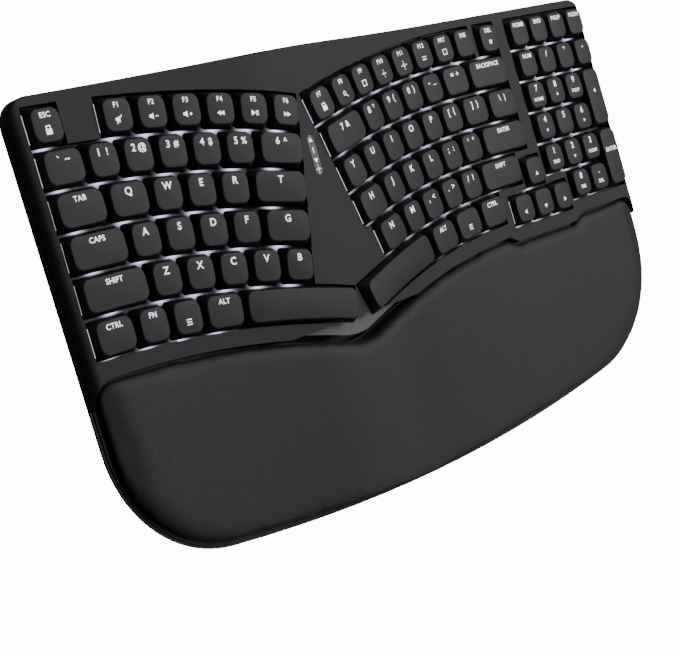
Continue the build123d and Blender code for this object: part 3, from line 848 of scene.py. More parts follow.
@dataclass
class Keycaps:
    """Hollow caps with leaning sides, softened top edges and painted light on the lower skirts."""

    keys: KeyField
    gap: float = 1.1 * MM
    height: float = 5.6 * MM
    wall: float = 1.1 * MM
    corner_steps: int = 5
    bar_cuts: int = 9
    sharp: float = math.radians(32.0)
    top_tilt: float = 0.85
    side_tilt: float = 0.5
    # millimetres: height below the top, how far the side has drawn in, and corner radius
    rings: tuple[Triple, ...] = (
        (5.6, 0.00, 1.8),
        (3.0, 0.68, 2.9),
        (0.50, 1.36, 3.9),
        (0.18, 1.50, 4.1),
        (0.05, 1.66, 4.2),
        (0.0, 1.95, 4.2),
    )
    made: dict[Triple, Piece] = field(default_factory=dict)

    def cap(self, spot: Spot) -> Piece:
        """The cap for a cell size, made once.

        Args:
            spot: a key with that cell.

        Returns:
            The cap, in the key's own frame.
        """
        size = (round(spot.width, 6), round(spot.depth, 6), round(spot.bend, 6))
        if size not in self.made:
            self.made[size] = self.shell(*size)
        return self.made[size]

    def shell(self, width: float, depth: float, bend: float) -> Piece:
        """Builds one hollow cap from stacked rounded rings.

        Args:
            width: the cell's width.
            depth: the cell's depth.
            bend: the radius of a bent bar, or 0.

        Returns:
            The cap.
        """
        Bench.clear()
        bpy.ops.mesh.primitive_plane_add(size=1.0, location=(0, 0, 0))
        cap = bpy.context.object
        Bench.edit(cap)
        bpy.ops.mesh.delete(type="VERT")
        for below, inset, corner in self.rings:
            less = self.gap + 2 * inset * MM
            self.ring(cap, width - less, depth - less, corner * MM, -below * MM, bend)
        levels = [-below * MM for below, _, _ in self.rings]
        for pair in zip(levels, levels[1:]):
            self.pick_edges(cap, pair)
            bpy.ops.mesh.bridge_edge_loops()
        self.pick_edges(cap, levels[-1:])
        bpy.ops.mesh.edge_face_add()
        bpy.ops.mesh.select_all(action="SELECT")
        bpy.ops.mesh.normals_make_consistent(inside=False)
        bpy.ops.object.mode_set(mode="OBJECT")
        if bend:
            self.bow(cap, bend)
        self.face_sides(cap, width)
        Bench.modify(cap, "SOLIDIFY", thickness=self.wall, offset=-1.0, use_rim=True)
        for point in cap.data.vertices:
            point.co.z = max(point.co.z, -self.height)
        Bench.take(cap)
        bpy.ops.object.shade_smooth_by_angle(angle=self.sharp)
        Bench.clear()
        return cap

    def ring(
        self, cap: Piece, width: float, depth: float, corner: float, z: float, bend: float
    ) -> None:
        """Adds one rounded ring of edges to the open cap.

        Args:
            cap: the cap.
            width: the ring's width.
            depth: the ring's depth.
            corner: the radius of its corners.
            z: its height.
            bend: the radius of a bent bar, whose long edges are cut up, or 0.
        """
        bpy.ops.mesh.primitive_plane_add(size=1.0, location=(0, 0, z))
        bpy.ops.transform.resize(value=(width, depth, 1.0), center_override=(0, 0, z))

        def at_corner(point: bpy.types.MeshVertex) -> bool:
            """Whether a point is one of the new corners."""
            return abs(point.co.z - z) < SAME and abs(abs(point.co.x) - width / 2) < SAME

        Bench.pick(cap, "VERT", at_corner)
        bpy.ops.mesh.bevel(offset=corner, segments=self.corner_steps, affect="VERTICES")
        Bench.pick(cap, "FACE", lambda face: abs(face.center.z - z) < SAME)
        bpy.ops.mesh.delete(type="ONLY_FACE")
        if bend:
            self.pick_edges(cap, (z,), width / 2)
            bpy.ops.mesh.subdivide(number_cuts=self.bar_cuts)

    def pick_edges(self, cap: Piece, levels: Sequence[float], longer: float = 0.0) -> None:
        """Selects the edges at some heights.

        Args:
            cap: the cap.
            levels: the heights.
            longer: how far along the key an edge runs at least.
        """
        points = cap.data.vertices

        def wanted(edge: bpy.types.MeshEdge) -> bool:
            """Whether an edge is wanted.

            Args:
                edge: the edge.

            Returns:
                True where it lies at one of the heights and is long enough.
            """
            start, end = (points[i].co for i in edge.vertices)
            level = any(max(abs(start.z - z), abs(end.z - z)) < SAME for z in levels)
            return level and (not longer or abs(start.x - end.x) > longer)

        Bench.pick(cap, "EDGE", wanted)

    def bow(self, cap: Piece, bend: float) -> None:
        """Bends a bar round the centre of its row.

        Args:
            cap: the bar.
            bend: how far the centre is.
        """
        for point in cap.data.vertices:
            turn = point.co.x / bend
            radius = bend + point.co.y
            point.co.x, point.co.y = radius * math.sin(turn), radius * math.cos(turn) - bend

    def face_sides(self, cap: Piece, width: float) -> None:
        """Marks top, front, rear and flanks, and maps each skirt across and up.

        Args:
            cap: the cap.
            width: the cell's width.
        """
        mesh = cap.data
        chart = mesh.uv_layers.new(name="skirt")
        sides = list(Side)
        for face in mesh.polygons:
            side = Side.FLANK
            if face.normal.z > self.top_tilt:
                side = Side.TOP
            elif abs(face.normal.y) > self.side_tilt:
                side = Side.REAR if face.normal.y > 0 else Side.FRONT
            face.material_index = sides.index(side)
            for loop in face.loop_indices:
                co = mesh.vertices[mesh.loops[loop].vertex_index].co
                along = co.y if side is Side.FLANK else co.x * self.keys.pitch / width
                chart.data[loop].uv = (0.5 + along / self.keys.pitch, 1.0 + co.z / self.height)

    def build(self, finishes: dict[Side, Material]) -> None:
        """Makes the caps of every bank, which stand for the plain ones of the frame.

        Args:
            finishes: the material of each side.
        """
        unlit = {side: finishes[side if side is Side.TOP else Side.REAR] for side in Side}
        for bank, spots in self.keys.banks().items():
            caps = [Bench.copy(self.cap(spot), self.keys.stand(spot)) for spot in spots]
            chosen = unlit if bank.endswith("space") else finishes
            whole = Bench.deliver(bank + "_caps", caps, bank, *(chosen[side] for side in Side))
            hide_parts(bank + "_keycaps")
        for cap in self.made.values():
            bpy.data.objects.remove(cap)


# Legends


class Shape(Enum):
    """Plain shapes that the symbols are drawn with."""

    BAR = "bar"
    TRIANGLE = "triangle"
    RING = "ring"


@dataclass(frozen=True)
class Stroke:
    """One plain shape of a symbol, in millimetres from the symbol's middle."""

    shape: Shape
    x: float
    y: float
    width: float
    height: float
    turn: float = 0.0


def bar(x: float, y: float, width: float, height: float, turn: float = 0.0) -> Stroke:
    """A straight bar."""
    return Stroke(Shape.BAR, x, y, width, height, turn)


def wedge(x: float, y: float, size: float, turn: float = 0.0) -> Stroke:
    """A triangle that points to the right before it is turned."""
    return Stroke(Shape.TRIANGLE, x, y, size, size, turn)


def ring(x: float, y: float, size: float) -> Stroke:
    """A thin ring."""
    return Stroke(Shape.RING, x, y, size, size)


def sun(size: float, away: float, ray: float, thin: float = 0.25) -> tuple[Stroke, ...]:
    """A ring with four rays, each a distance away from the middle."""
    upright = (bar(0, away, thin, ray), bar(0, -away, thin, ray))
    return (ring(0, 0, size), *upright, bar(away, 0, ray, thin), bar(-away, 0, ray, thin))


SPEAKER = (bar(-1.0, 0, 0.7, 0.9), wedge(-0.5, 0, 1.7, 180), bar(1.15, 0, 0.9, 0.3))
SYMBOLS: dict[str, tuple[Stroke, ...]] = {
    "lock": (
        bar(0, -0.5, 1.9, 1.5),
        bar(-0.6, 0.6, 0.32, 0.9),
        bar(0.6, 0.6, 0.32, 0.9),
        bar(0, 1.05, 1.5, 0.32),
    ),
    "mute": (bar(-0.75, 0, 0.7, 0.9), wedge(-0.2, 0, 1.7, 180), bar(0.1, 0, 0.3, 3.0, -40)),
    "quieter": SPEAKER,
    "louder": (*SPEAKER, bar(1.15, 0, 0.3, 0.9)),
    "back": (wedge(-0.55, 0, 1.4, 180), wedge(0.65, 0, 1.4, 180)),
    "play": (wedge(-0.6, 0, 1.6), bar(0.65, 0, 0.3, 1.5), bar(1.2, 0, 0.3, 1.5)),
    "forward": (wedge(-0.65, 0, 1.4), wedge(0.55, 0, 1.4)),
    "dimmer": sun(1.0, 1.05, 0.4),
    "brighter": sun(1.3, 1.25, 0.5),
    "search": (ring(-0.2, 0.2, 1.5), bar(0.75, -0.75, 1.1, 0.3, -45)),
    "window": (
        bar(0, 0.85, 2.2, 0.3),
        bar(0, -0.85, 2.2, 0.3),
        bar(-0.95, 0, 0.3, 1.7),
        bar(0.95, 0, 0.3, 1.7),
    ),
    "menu": tuple(bar(0, y, 1.8, 0.3) for y in (0.7, 0, -0.7)),
    "keys": (*(bar(x, 0.4, 0.45, 0.45) for x in (-0.8, 0, 0.8)), bar(0, -0.5, 2.0, 0.4)),
    "up": (wedge(0, 0.1, 1.5, 90),),
    "down": (wedge(0, -0.1, 1.5, -90),),
    "left": (wedge(-0.1, 0, 1.5, 180),),
    "right": (wedge(0.1, 0, 1.5),),
    "night": (ring(0, 0, 1.5), bar(0.35, 0.3, 0.9, 0.5, 45)),
}


@dataclass(frozen=True)
class Mark:
    """One legend on a cap: words or a symbol, with its place from the cap's middle in millimetres.

    The size is the capital height of words, and the scale of a symbol.
    """

    what: str
    x: float = 0.0
    y: float = 3.6
    size: float = 3.5


Row = tuple[tuple[Mark, ...], ...]


# place from the cap's middle and size, in millimetres
CAPITAL = (0.0, 4.5, 2.5)
MAIN, SHIFTED = (-2.3, 3.5, 3.4), (2.3, 3.5, 3.2)
OVER, UNDER = (0.0, 4.6, 2.4), (0.0, -2.2, 1.65)
DIGIT = (0.0, 3.9, 3.7)
LOWER_WORD, LOWER_SIGN = (0.0, -2.8, 2.1), (0.0, -2.6, 1.3)


def letters(text: str) -> Row:
    """One letter in the upper middle of each cap."""
    return tuple((Mark(sign),) for sign in text)


def words(text: str) -> Row:
    """One word in small capitals on each cap."""
    return tuple((Mark(word, *CAPITAL),) for word in text.split())


def pairs(text: str) -> Row:
    """A main sign on each cap, with the shifted one to its right."""
    return tuple((Mark(main, *MAIN), Mark(other, *SHIFTED)) for main, other in text.split())


def overs(text: str) -> Row:
    """A small word over a symbol on each cap, with a colon between them."""
    signs = (pair.split(":") for pair in text.split())
    return tuple((Mark(upper, *OVER), Mark(lower, *UNDER)) for upper, lower in signs)


def digits(text: str) -> Row:
    """A digit over a smaller word or symbol on each cap.

    Args:
        text: what the caps say, with a colon in each and a space between two.

    Returns:
        The marks of each cap.
    """
    signs = (pair.split(":") for pair in text.split())
    places = {False: LOWER_WORD, True: LOWER_SIGN}
    return tuple((Mark(a, *DIGIT), Mark(b, *places[b in SYMBOLS])) for a, b in signs)


BLANK: Row = ((),)
LEGENDS: dict[str, Row] = {
    "left_function": overs(
        "ESC:lock F1:mute F2:quieter F3:louder F4:back F5:play F6:forward"
    ),
    "left_number": pairs("`~ 1! 2@ 3# 4$ 5% 6^"),
    "left_upper": words("TAB") + letters("QWERT"),
    "left_home": words("CAPS") + letters("ASDFG"),
    "left_lower": words("SHIFT") + letters("ZXCVB"),
    "left_modifier": words("CTRL FN") + overs(":menu") + words("ALT"),
    "left_space": BLANK,
    "right_function": overs("DEL:night") + words("INS") + overs(
        "PRT:window F12:keys F11:brighter F10:dimmer F9:window F8:search F7:lock"
    ),
    "right_number": words("BACKSPACE") + pairs("=+ -_ 0) 9( 8* 7&"),
    "right_upper": pairs("\\| ]} [{") + letters("POIUY"),
    "right_home": words("ENTER") + pairs("'\" ;:") + letters("LKJH"),
    "right_lower": words("SHIFT") + pairs("/? .> ,<") + letters("MN"),
    "right_modifier": words("CTRL") + overs(":menu") + words("ALT"),
    "right_space": BLANK,
    "arrow": overs(":up :left :down :right"),
    "navigation": words("HOME END PGUP PGDN"),
    "numpad_operator": words("NUM") + letters("/*-"),
    "numpad_digit": digits(
        "7:HOME 8:up 9:PGUP 4:left 5: 6:right 1:END 2:down 3:PGDN 0:INS .:DEL"
    ),
    "numpad_plus": letters("+"),
    "numpad_enter": words("ENTER"),
}


@dataclass
class Legends:
    """Signs on the caps, each a thin raised film."""

    keys: KeyField
    thickness: float = 0.05 * MM
    sink: float = 0.02 * MM
    weight: float = 0.035
    capital_share: float = 0.70
    letter_space: float = 1.06
    curve_steps: int = 3
    ring_points: int = 18
    ring_line: float = 0.2
    triangle_radius: float = 0.62
    made: dict[str, Piece] = field(default_factory=dict)

    def words(self, text: str, size: float) -> Piece:
        """Lettering of a capital height, centred on its middle.

        Args:
            text: what it says.
            size: capital height.

        Returns:
            The flat letters.
        """
        Bench.clear()
        bpy.ops.object.text_add(location=(0, 0, 0))
        letters_data = bpy.context.object.data
        letters_data.body = text
        letters_data.align_x = "CENTER"
        letters_data.size = size / self.capital_share
        letters_data.offset = self.weight * size
        letters_data.resolution_u = self.curve_steps
        letters_data.space_character = self.letter_space
        bpy.ops.object.convert(target="MESH")
        piece = bpy.context.object
        piece.data.transform(Matrix.Translation((0, -size / 2, 0)))
        return piece

    def outline(self, shape: Shape) -> Piece:
        """Makes one plain shape.

        Args:
            shape: which one.

        Returns:
            The flat shape, one unit large.
        """
        Bench.clear()
        if shape is Shape.BAR:
            bpy.ops.mesh.primitive_plane_add(size=1.0)
        elif shape is Shape.TRIANGLE:
            bpy.ops.mesh.primitive_circle_add(
                vertices=3, radius=self.triangle_radius, fill_type="NGON"
            )
            quarter = Matrix.Rotation(-math.pi / 2, 4, "Z")
            bpy.context.object.data.transform(quarter)
        else:
            bpy.ops.mesh.primitive_circle_add(
                vertices=self.ring_points, radius=0.5, fill_type="NGON"
            )
            Bench.edit(bpy.context.object, "FACE")
            bpy.ops.mesh.inset(thickness=self.ring_line)
            bpy.ops.mesh.delete(type="FACE")
            bpy.ops.object.mode_set(mode="OBJECT")
        return bpy.context.object

    def symbol(self, name: str, scale: float) -> Piece:
        """Draws a symbol with plain shapes.

        Args:
            name: which one.
            scale: how many times its size in the table.

        Returns:
            The flat symbol.
        """
        unit = MM * scale
        parts = []
        for stroke in SYMBOLS[name]:
            part = self.outline(stroke.shape)
            scaled = Matrix.Diagonal((stroke.width * unit, stroke.height * unit, 1.0, 1.0))
            turned = Matrix.Rotation(math.radians(stroke.turn), 4, "Z")
            moved = Matrix.Translation((stroke.x * unit, stroke.y * unit, 0))
            part.data.transform(moved @ turned @ scaled)
            parts.append(part)
        return Bench.join("symbol_" + name, parts)

    def mark(self, mark: Mark) -> Piece:
        """The film of one legend, made once for each text and size.

        Args:
            mark: the legend.

        Returns:
            The film, with its middle at the origin.
        """
        key = f"{mark.what} {mark.size}"
        if key not in self.made:
            if mark.what in SYMBOLS:
                piece = self.symbol(mark.what, mark.size)
            else:
                piece = self.words(mark.what, mark.size * MM)
            Bench.modify(piece, "SOLIDIFY", thickness=self.thickness, offset=0.0)
            self.made[key] = piece
        return self.made[key]

    def build(self, material: Material) -> None:
        """Puts the legends of every bank on its caps.

        Args:
            material: the lettering's material.
        """
        lift = self.thickness / 2 - self.sink
        for bank, spots in self.keys.banks().items():
            films = []
            for spot, marks in zip(spots, LEGENDS[bank], strict=True):
                for mark in (mark for mark in marks if mark.what):
                    aside = Matrix.Translation((mark.x * MM, mark.y * MM, lift))
                    films.append(Bench.copy(self.mark(mark), self.keys.stand(spot) @ aside))
            if films:
                Bench.deliver(bank + "_legends", films, bank, material)
        for piece in self.made.values():
            bpy.data.objects.remove(piece)


# Light below the caps


@dataclass
class LampFilm:
    """Glowing sheet over the switch plate, with painted light brightest in front of each key's
    lamp.
    """

    keys: KeyField
    drop: float = 9.55 * MM
    thickness: float = 0.06 * MM
    switch_reach: float = 6.9 * MM
    margin: float = 0.4 * MM
    step: float = 1.7 * MM
    front_reach: float = 30.0 * MM
    rear_reach: float = 105.0 * MM
    lamp: float = 8.2 * MM
    spread: float = 3.4 * MM
    flat_spread: float = 1.7 * MM
    far: float = 4.0

    def build(self, material: Material) -> None:
        """Makes the film.

        Args:
            material: its material.
        """
        keys, spots = self.keys, self.keys.spots()
        low_y = keys.front - self.front_reach
        depth = keys.front + self.rear_reach - low_y
        Bench.clear()
        bpy.ops.mesh.primitive_grid_add(
            x_subdivisions=int(keys.width / self.step),
            y_subdivisions=int(depth / self.step),
            size=1.0,
            location=(0, 0, 0),
        )
        film = bpy.context.object
        middle = Matrix.Translation((keys.left + keys.width / 2, low_y + depth / 2, 0))
        film.data.transform(middle @ Matrix.Diagonal((keys.width, depth, 1, 1)))

        def spare(face: bpy.types.MeshPolygon) -> bool:
            """Whether a face lies outside the keys or over a switch."""
            over = any(self.at_switch(face.center, spot) for spot in spots)
            return over or not any(self.inside(face.center, spot) for spot in spots)

        Bench.edit(film, "FACE")
        Bench.pick(film, "FACE", spare)
        bpy.ops.mesh.delete(type="FACE")
        bpy.ops.object.mode_set(mode="OBJECT")
        # painted light: how brightly the lamps light each point of the sheet
        glow = film.data.attributes.new("glow", "FLOAT", "POINT")
        lit = [spot for spot in spots if not spot.bend]
        for point in film.data.vertices:
            point.co.z = keys.key_top - self.drop + keys.ridge.rise(point.co.x)
            reach = self.far * self.spread
            near = [spot for spot in lit if abs(spot.x - point.co.x) < reach + spot.width / 2]
            light = sum(self.light(point.co, spot) for spot in near)
            glow.data[point.index].value = min(light, 1.0)
        Bench.modify(film, "SOLIDIFY", thickness=self.thickness, offset=0.0)
        Bench.deliver("lamp_film", [film], "case", material)

    def local(self, point: Vector, spot: Spot) -> tuple[float, float]:
        """Brings a point into a key's own plan.

        Args:
            point: the point.
            spot: the key's place.

        Returns:
            How far it lies to the key's right and rear.
        """
        x, y = point.x - spot.x, point.y - spot.y
        c, s = math.cos(-spot.heading), math.sin(-spot.heading)
        return c * x - s * y, s * x + c * y

    def inside(self, point: Vector, spot: Spot) -> bool:
        """Whether a point lies in a key's cell.

        Args:
            point: the point.
            spot: the key's place.

        Returns:
            True also where it lies a small margin outside.
        """
        x, y = self.local(point, spot)
        if spot.bend:
            radius = math.hypot(x, y + spot.bend)
            x, y = spot.bend * math.atan2(x, y + spot.bend), radius - spot.bend
        return abs(x) < spot.width / 2 + self.margin and abs(y) < spot.depth / 2 + self.margin

    def at_switch(self, point: Vector, spot: Spot) -> bool:
        """Whether a point lies over a key's switch, where the film has a hole."""
        return max(map(abs, self.local(point, spot))) < self.switch_reach

    def light(self, point: Vector, spot: Spot) -> float:
        """How strongly a key's lamp lights a point of the film."""
        x, y = self.local(point, spot)
        return math.exp(-((x / self.spread) ** 2) - ((y + self.lamp) / self.flat_spread) ** 2)


# Light on the walls of the wells


@dataclass
class WellLight:
    """Thin glowing strips on the well walls beside the outer keys: painted highlights where light
    comes past the caps.
    """

    keys: KeyField
    name: str
    rows: tuple[str, ...]
    length: float = 13.0 * MM
    height: float = 0.24 * MM
    thickness: float = 0.3 * MM
    softened: float = 0.03 * MM
    drop: float = 3.10 * MM
    reach: float = 0.12 * MM
    look: float = 4.0 * MM

    def at_wall(self, spot: Spot, spots: Sequence[Spot], film: LampFilm) -> bool:
        """Whether a straight key has a wall and no other key to its left."""
        beside = self.keys.stand(spot) @ Vector((-spot.width / 2 - self.look, 0, 0))
        return not spot.bend and not any(film.inside(beside, s) for s in spots if s is not spot)

    def build(self, film: LampFilm, material: Material) -> None:
        """Puts one glowing strip, a painted highlight, to the left of every key that has a wall
        there.

        Args:
            film: tells which places belong to a key.
            material: the material of the light.
        """
        banks = self.keys.banks()
        spots = [spot for bank in banks.values() for spot in bank]
        edges = []
        for spot in (spot for row in self.rows for spot in banks[row]):
            if self.at_wall(spot, spots, film):
                Bench.clear()
                bpy.ops.mesh.primitive_cube_add(size=1.0)
                edge = bpy.context.object
                length = spot.depth - self.keys.pitch + self.length
                edge.data.transform(Matrix.Diagonal((self.thickness, length, self.height, 1.0)))
                aside = (-spot.width / 2 - self.reach, -self.height, -self.drop)
                edge.data.transform(self.keys.stand(spot) @ Matrix.Translation(aside))
                edges.append(edge)
        whole = Bench.deliver(self.name, edges, "case", material)
        Bench.modify(whole, "BEVEL", width=self.softened, segments=1)


# Wrist pad


@dataclass
class WristPad:
    """Foam cushion under artificial leather, crowned over the ridge."""

    drawn_in: float = 0.9 * MM
    merge: float = 0.01 * MM
    voxel: float = 2.8 * MM
    quick_voxel: float = 4.48 * MM
    even: float = 0.5
    even_rounds: int = 3
    pressure: float = 4.0
    stretch: float = 40.0
    bending: float = 8.0
    frames: int = 20
    swell: float = 0.95 * MM
    slide: float = 0.5

    def build(self, material: Material) -> None:
        """Makes the cushion, which stands for the plain solid.

        Args:
            material: its cover.
        """
        Bench.clear()
        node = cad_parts["wrist_pad"]
        pad = bpy.data.objects.new("cushion", node.data.copy())
        bpy.context.scene.collection.objects.link(pad)
        Bench.edit(pad)
        bpy.ops.mesh.remove_doubles(threshold=self.merge)
        bpy.ops.mesh.normals_make_consistent(inside=False)
        bpy.ops.object.mode_set(mode="OBJECT")
        voxel = self.voxel
        Bench.modify(pad, "REMESH", mode="VOXEL", voxel_size=voxel)
        Bench.modify(pad, "SMOOTH", factor=self.even, iterations=self.even_rounds)
        Bench.modify(pad, "SHRINKWRAP", target=node, wrap_method="NEAREST_SURFACEPOINT")
        start = [point.co.copy() for point in pad.data.vertices]
        normals = [point.normal.copy() for point in pad.data.vertices]
        for point, normal in zip(pad.data.vertices, normals):
            point.co -= normal * self.drawn_in
        self.stuff(pad)
        for point, home, normal in zip(pad.data.vertices, start, normals):
            self.hold(point, home, normal)
        Bench.modify(pad, "SMOOTH", factor=self.even, iterations=self.even_rounds)
        Bench.modify(pad, "SUBSURF", levels=1, render_levels=1)
        Bench.take(Bench.deliver("cushion", [pad], "case", material))
        bpy.ops.object.shade_smooth()
        Bench.clear()
        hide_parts("wrist_pad")

    def stuff(self, pad: Piece) -> None:
        """Swells the pad with a short cloth simulation and applies it.

        Args:
            pad: the drawn-in cushion.
        """
        Bench.take(pad)
        cloth = pad.modifiers.new("cloth", "CLOTH")
        cloth.settings.use_pressure = True
        cloth.settings.uniform_pressure_force = self.pressure
        cloth.settings.effector_weights.gravity = 0.0
        cloth.settings.tension_stiffness = self.stretch
        cloth.settings.compression_stiffness = self.stretch
        cloth.settings.bending_stiffness = self.bending
        scene = bpy.context.scene
        for step in range(1, self.frames + 1):
            scene.frame_set(step)
        bpy.ops.object.modifier_apply(modifier=cloth.name)
        scene.frame_set(1)

    def hold(self, point: bpy.types.MeshVertex, home: Vector, normal: Vector) -> None:
        """Keeps a swollen point near its place on the plain solid.

        Args:
            point: the point.
            home: its place on the solid.
            normal: which way is out there.
        """
        moved = point.co - home
        out = moved.dot(normal) + self.drawn_in
        aside = moved - normal * moved.dot(normal)
        if aside.length > self.swell:
            aside *= self.swell / aside.length
        out = min(max(out, 0.0), self.swell) - self.drawn_in
        point.co = home + normal * out + aside * self.slide


# Window signs


@dataclass
class WindowSigns:
    """Small lit signs behind the indicator window, and the pale line round it."""

    keys: KeyField
    legends: Legends
    x: float = 153.4 * MM
    y: float = 54.3 * MM
    length: float = 20.0 * MM
    width: float = 4.2 * MM
    rounding: float = 2.016 * MM
    round_steps: int = 10
    line: float = 0.32 * MM
    line_height: float = 0.08 * MM
    lift: float = 0.01 * MM
    # millimetres from the window's middle, what stands there and how large
    signs: tuple[tuple[float, str, float], ...] = (
        (7.3, "up", 1.7),
        (2.4, "1", 3.0),
        (-2.4, "down", 1.7),
        (-7.2, "dimmer", 1.7),
    )

    def outline(self, place: Matrix) -> Piece:
        """The line round the window, a rounded plate with its middle taken out.

        Args:
            place: the middle of the window's face.

        Returns:
            The line, in its place.
        """
        Bench.clear()
        bpy.ops.mesh.primitive_plane_add(size=1.0)
        line = bpy.context.object
        line.data.transform(Matrix.Diagonal((self.width, self.length, 1.0, 1.0)))
        Bench.edit(line)
        bpy.ops.mesh.bevel(offset=self.rounding, segments=self.round_steps, affect="VERTICES")
        bpy.ops.mesh.select_mode(type="FACE")
        bpy.ops.mesh.select_all(action="SELECT")
        bpy.ops.mesh.inset(thickness=self.line)
        bpy.ops.mesh.delete(type="FACE")
        bpy.ops.object.mode_set(mode="OBJECT")
        line.data.transform(place)
        Bench.modify(line, "SOLIDIFY", thickness=self.line_height, offset=0.0)
        return line

    def build(self, material: Material, pale: Material) -> None:
        """Puts the signs and the line on the window.

        Args:
            material: the signs' material.
            pale: the line's material.
        """
        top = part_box("indicator_window")[1].z
        middle = Vector((self.keys.left + self.x, self.keys.front + self.y, top))
        films = []
        for off, sign, size in self.signs:
            place = Matrix.Translation(middle + Vector((0, off * MM, self.lift)))
            films.append(Bench.copy(self.legends.mark(Mark(sign, 0, 0, size)), place))
        Bench.deliver("window_signs", films, "case", material)
        line = self.outline(Matrix.Translation(middle))
        Bench.deliver("window_line", [line], "case", pale)


# Frame nodes


@dataclass
class Carried:
    """Nodes of the frame whose shapes stay, and their finishes."""

    finishes: dict[str, Material]

    def build(self) -> None:
        """Dresses every node whose name is, or ends with, one that has a finish."""
        for name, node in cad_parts.items():
            chosen = [m for key, m in self.finishes.items() if f"_{name}".endswith(f"_{key}")]
            if not chosen:
                LOG.warning("no finish for %s", name)
                continue
            Bench.dress(node, chosen[0])
            LOG.info("dressed %s", name)


# Studio


@dataclass(frozen=True)
class Lamp:
    """One soft square light, with its side in metres and its power in watts."""

    name: str
    place: Triple
    aim: Triple
    size: float
    power: float

    def build(self) -> None:
        """Hangs the light and points it."""
        data = bpy.data.lights.new(self.name, "AREA")
        data.size = self.size
        data.energy = self.power
        lamp = bpy.data.objects.new(self.name, data)
        lamp.location = self.place
        aim = Vector(self.aim) - Vector(self.place)
        lamp.rotation_euler = aim.to_track_quat("-Z", "Y").to_euler()
        bpy.context.scene.collection.objects.link(lamp)


@dataclass
class Studio:
    """Pale floor, soft light and the camera of the photograph."""

    keys: KeyField
    focal_px: float = 1486.45
    # from the key field's corner, in millimetres, to the camera's right, down and forward
    turn: Triple = (2.827333, -0.447343, 1.158726)
    shift: Triple = (-105.276, 15.163, 635.576)
    centre_px: tuple[float, float] = (2.0, -20.0)
    sensor: float = 36.0
    clip_start: float = 10.0 * MM
    floor_size: float = 14.0
    sky: Colour = (0.95, 0.97, 1.0)
    sky_strength: float = 0.16
    lamps: tuple[Lamp, ...] = (
        Lamp("overhead", (0.95, 0.35, 1.3), (0.0, 0.0, 0.0), 1.2, 27.0),
        Lamp("fill", (0.9, -0.9, 1.0), (0.05, -0.05, 0.0), 0.9, 7.0),
        Lamp("rear", (0.55, 1.0, 0.55), (0.0, 0.1, 0.0), 0.7, 3.0),
    )

    def camera(self) -> None:
        """Sets the camera where the photograph was taken from."""
        axis = Vector(self.turn)
        rotation = Matrix.Rotation(axis.length, 3, axis.normalized())
        home = rotation.transposed() @ Vector(self.shift) * -1.0
        right, down, forward = rotation
        pose = Matrix((right, -down, -forward)).transposed().to_4x4()
        pose.translation = home * MM + Vector((self.keys.left, self.keys.front, self.keys.key_top))
        data = bpy.data.cameras.new("camera")
        data.sensor_width = self.sensor
        data.sensor_fit = "HORIZONTAL"
        data.lens = self.sensor * self.focal_px / PHOTO_WIDTH
        data.shift_x = -self.centre_px[0] / PHOTO_WIDTH
        data.shift_y = self.centre_px[1] / PHOTO_WIDTH
        data.clip_start = self.clip_start
        camera = bpy.data.objects.new("camera", data)
        camera.matrix_world = pose
        bpy.context.scene.collection.objects.link(camera)
        bpy.context.scene.camera = camera

    def floor(self) -> None:
        """Lays a large pale floor, whose own light doesn't reach the keyboard."""
        Bench.clear()
        bpy.ops.mesh.primitive_plane_add(size=self.floor_size, location=(0, 0, 0))
        floor = bpy.context.object
        floor.name = "floor"
        Bench.dress(floor, FLOOR_PAINT.material())
        floor.visible_diffuse = False
        floor.visible_glossy = False

    def build(self) -> None:
        """Builds the whole studio."""
        self.camera()
        self.floor()
        world = bpy.data.worlds.new("studio")
        world.use_nodes = True
        backdrop = world.node_tree.nodes["Background"]
        backdrop.inputs[0].default_value = (*self.sky, 1.0)
        backdrop.inputs[1].default_value = self.sky_strength
        bpy.context.scene.world = world
        for lamp in self.lamps:
            lamp.build()
        LOG.info("studio ready")


# Choice of finishes

COOL_WHITE: Colour = (0.75, 0.78, 1.0)
COOL_FADED: Colour = (0.675, 0.702, 0.9)
FLOOR_PAINT = LitPaint("floor_paint", grey(0.94), 14.0, grey(0.90, 0.905), 3.0, 0.9, 0.0)
CAP_TOP = MouldedPlastic(
    "cap_top", grey(0.0072, 0.0078), grey(0.0094, 0.0101), 0.5, 3200.0, 0.02 * MM, 0.22
)
# skirts with the lamps' light painted on as a glow
SKIRTS = {
    Side.FRONT: LitSkirt("front_skirt", 0.11, 0.25, 3.6, 0.04),
    Side.REAR: LitSkirt("rear_skirt", 0.08, 0.30, 0.6, 0.05),
    Side.FLANK: LitSkirt("flank_skirt", 0.07, 0.30, 2.2, 0.0, 0.4),
}
WINDOW_LINE = MouldedPlastic("window_line", grey(0.10, 0.105), grey(0.13, 0.135), 0.4)
PAD_COVER = GrainedLeather("pad_cover", grey(0.0078, 0.0083), grey(0.0105, 0.0110))
DARK = MouldedPlastic(
    "inner_plastic", grey(0.006, 0.007), grey(0.009, 0.010), 0.5, specular=0.2
)
STEEL = Metal("plated_steel", grey(0.45, 0.46), 0.35)
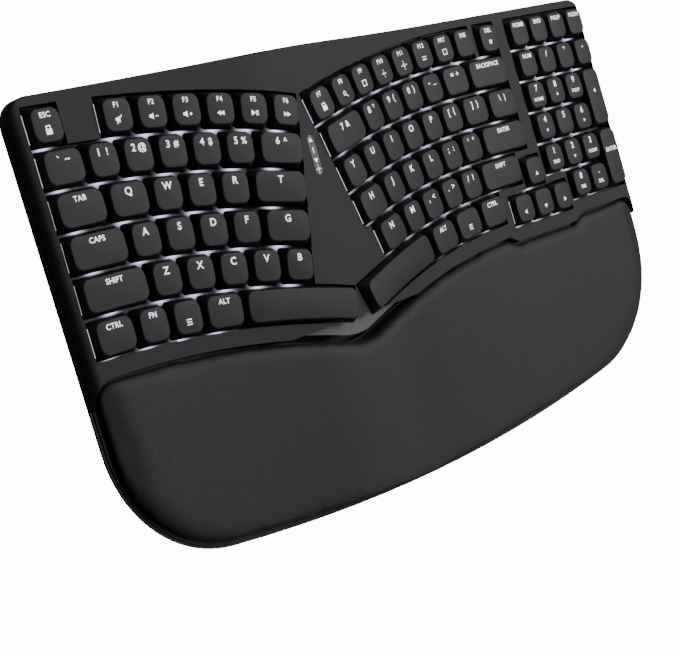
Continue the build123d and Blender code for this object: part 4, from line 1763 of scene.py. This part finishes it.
NODE_FINISHES: dict[str, Finish] = {
    "bottom_case": MouldedPlastic(
        "base_shell", grey(0.004), grey(0.006), 0.5, 2200.0, specular=0.2
    ),
    "wrist_pad_base": DARK,
    "stems": MouldedPlastic("stem_plastic", (0.66, 0.30, 0.38), (0.74, 0.38, 0.46), 0.35),
    "switch_housings": MouldedPlastic("housing_plastic", grey(0.30, 0.31), grey(0.36, 0.37), 0.3),
    "backlight_leds": LitPaint("lamp_lens", (0.75, 0.8, 1.0), 3.0, (0.675, 0.72, 0.9)),
    "switch_plate": MouldedPlastic("plate_coat", grey(0.03, 0.032), grey(0.04, 0.042), 0.45),
    "circuit_board": MouldedPlastic("solder_mask", (0.01, 0.05, 0.02), (0.015, 0.07, 0.03), 0.3),
    "board_ribbon": MouldedPlastic("ribbon_film", (0.30, 0.13, 0.02), (0.38, 0.17, 0.03), 0.3),
    "battery": Metal("foil_pouch", grey(0.62, 0.64), 0.4),
    "usb_socket": STEEL,
    "power_switch_frame": DARK,
    "power_switch_slider": DARK,
    "indicator_window": MouldedPlastic(
        "window_gloss", grey(0.012, 0.0125), grey(0.014, 0.0145), 0.35, 1200.0, 0.002 * MM, 0.3
    ),
    "rubber_feet": MouldedPlastic("foot_rubber", grey(0.03), grey(0.045), 0.8, 900.0, 0.08 * MM),
    "tilt_leg": DARK,
    "screws": STEEL,
}
# rows whose left walls get a bright painted highlight of the lamps' light, and those that get a
# faint one
BRIGHT_ROWS = (
    "left_function", "left_number", "left_modifier", "right_function", "right_number",
    "right_upper", "right_home", "right_lower", "right_modifier", "arrow",
)
FAINT_ROWS = ("left_upper", "left_home", "left_lower")


def main() -> None:
    """Builds every piece in order."""
    logging.basicConfig(level=logging.INFO, format="%(name)s: %(message)s")
    keys = KeyField()
    # painted shade down the two sides of the case, laid on the shell's colour
    side_shade = PaintedSideShade(keys.left, keys.left + keys.width)
    shell = MouldedPlastic(
        "case_shell", grey(0.0125, 0.0134), grey(0.0160, 0.0170), 0.6, specular=0.2, side_shade=side_shade
    ).material()
    lettering = LitPaint("lettering").material()
    Studio(keys).build()
    sides = {Side.TOP: CAP_TOP.material()}
    sides |= {side: skirt.material() for side, skirt in SKIRTS.items()}
    Keycaps(keys).build(sides)
    legends = Legends(keys)
    WindowSigns(keys, legends).build(lettering, WINDOW_LINE.material())
    legends.build(lettering)
    film = LampFilm(keys)
    film.build(LightFilm("lamp_film", 2.6).material())
    # painted highlights on the well walls, as glowing strips
    bright = LitPaint("well_glow", COOL_WHITE, 0.7, COOL_FADED).material()
    WellLight(keys, "well_light", BRIGHT_ROWS).build(film, bright)
    faint = LitPaint("faint_glow", COOL_WHITE, 0.16, COOL_FADED).material()
    WellLight(keys, "well_light_faint", FAINT_ROWS).build(film, faint)
    WristPad().build(PAD_COVER.material())
    made = {finish.name: finish.material() for finish in NODE_FINISHES.values()}
    shown = {key: made[finish.name] for key, finish in NODE_FINISHES.items()}
    shown |= {"top_case": shell, "wrist_pad": shell, "keycaps": sides[Side.REAR]}
    Carried(shown).build()
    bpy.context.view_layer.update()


if __name__ == "__main__":
    main()
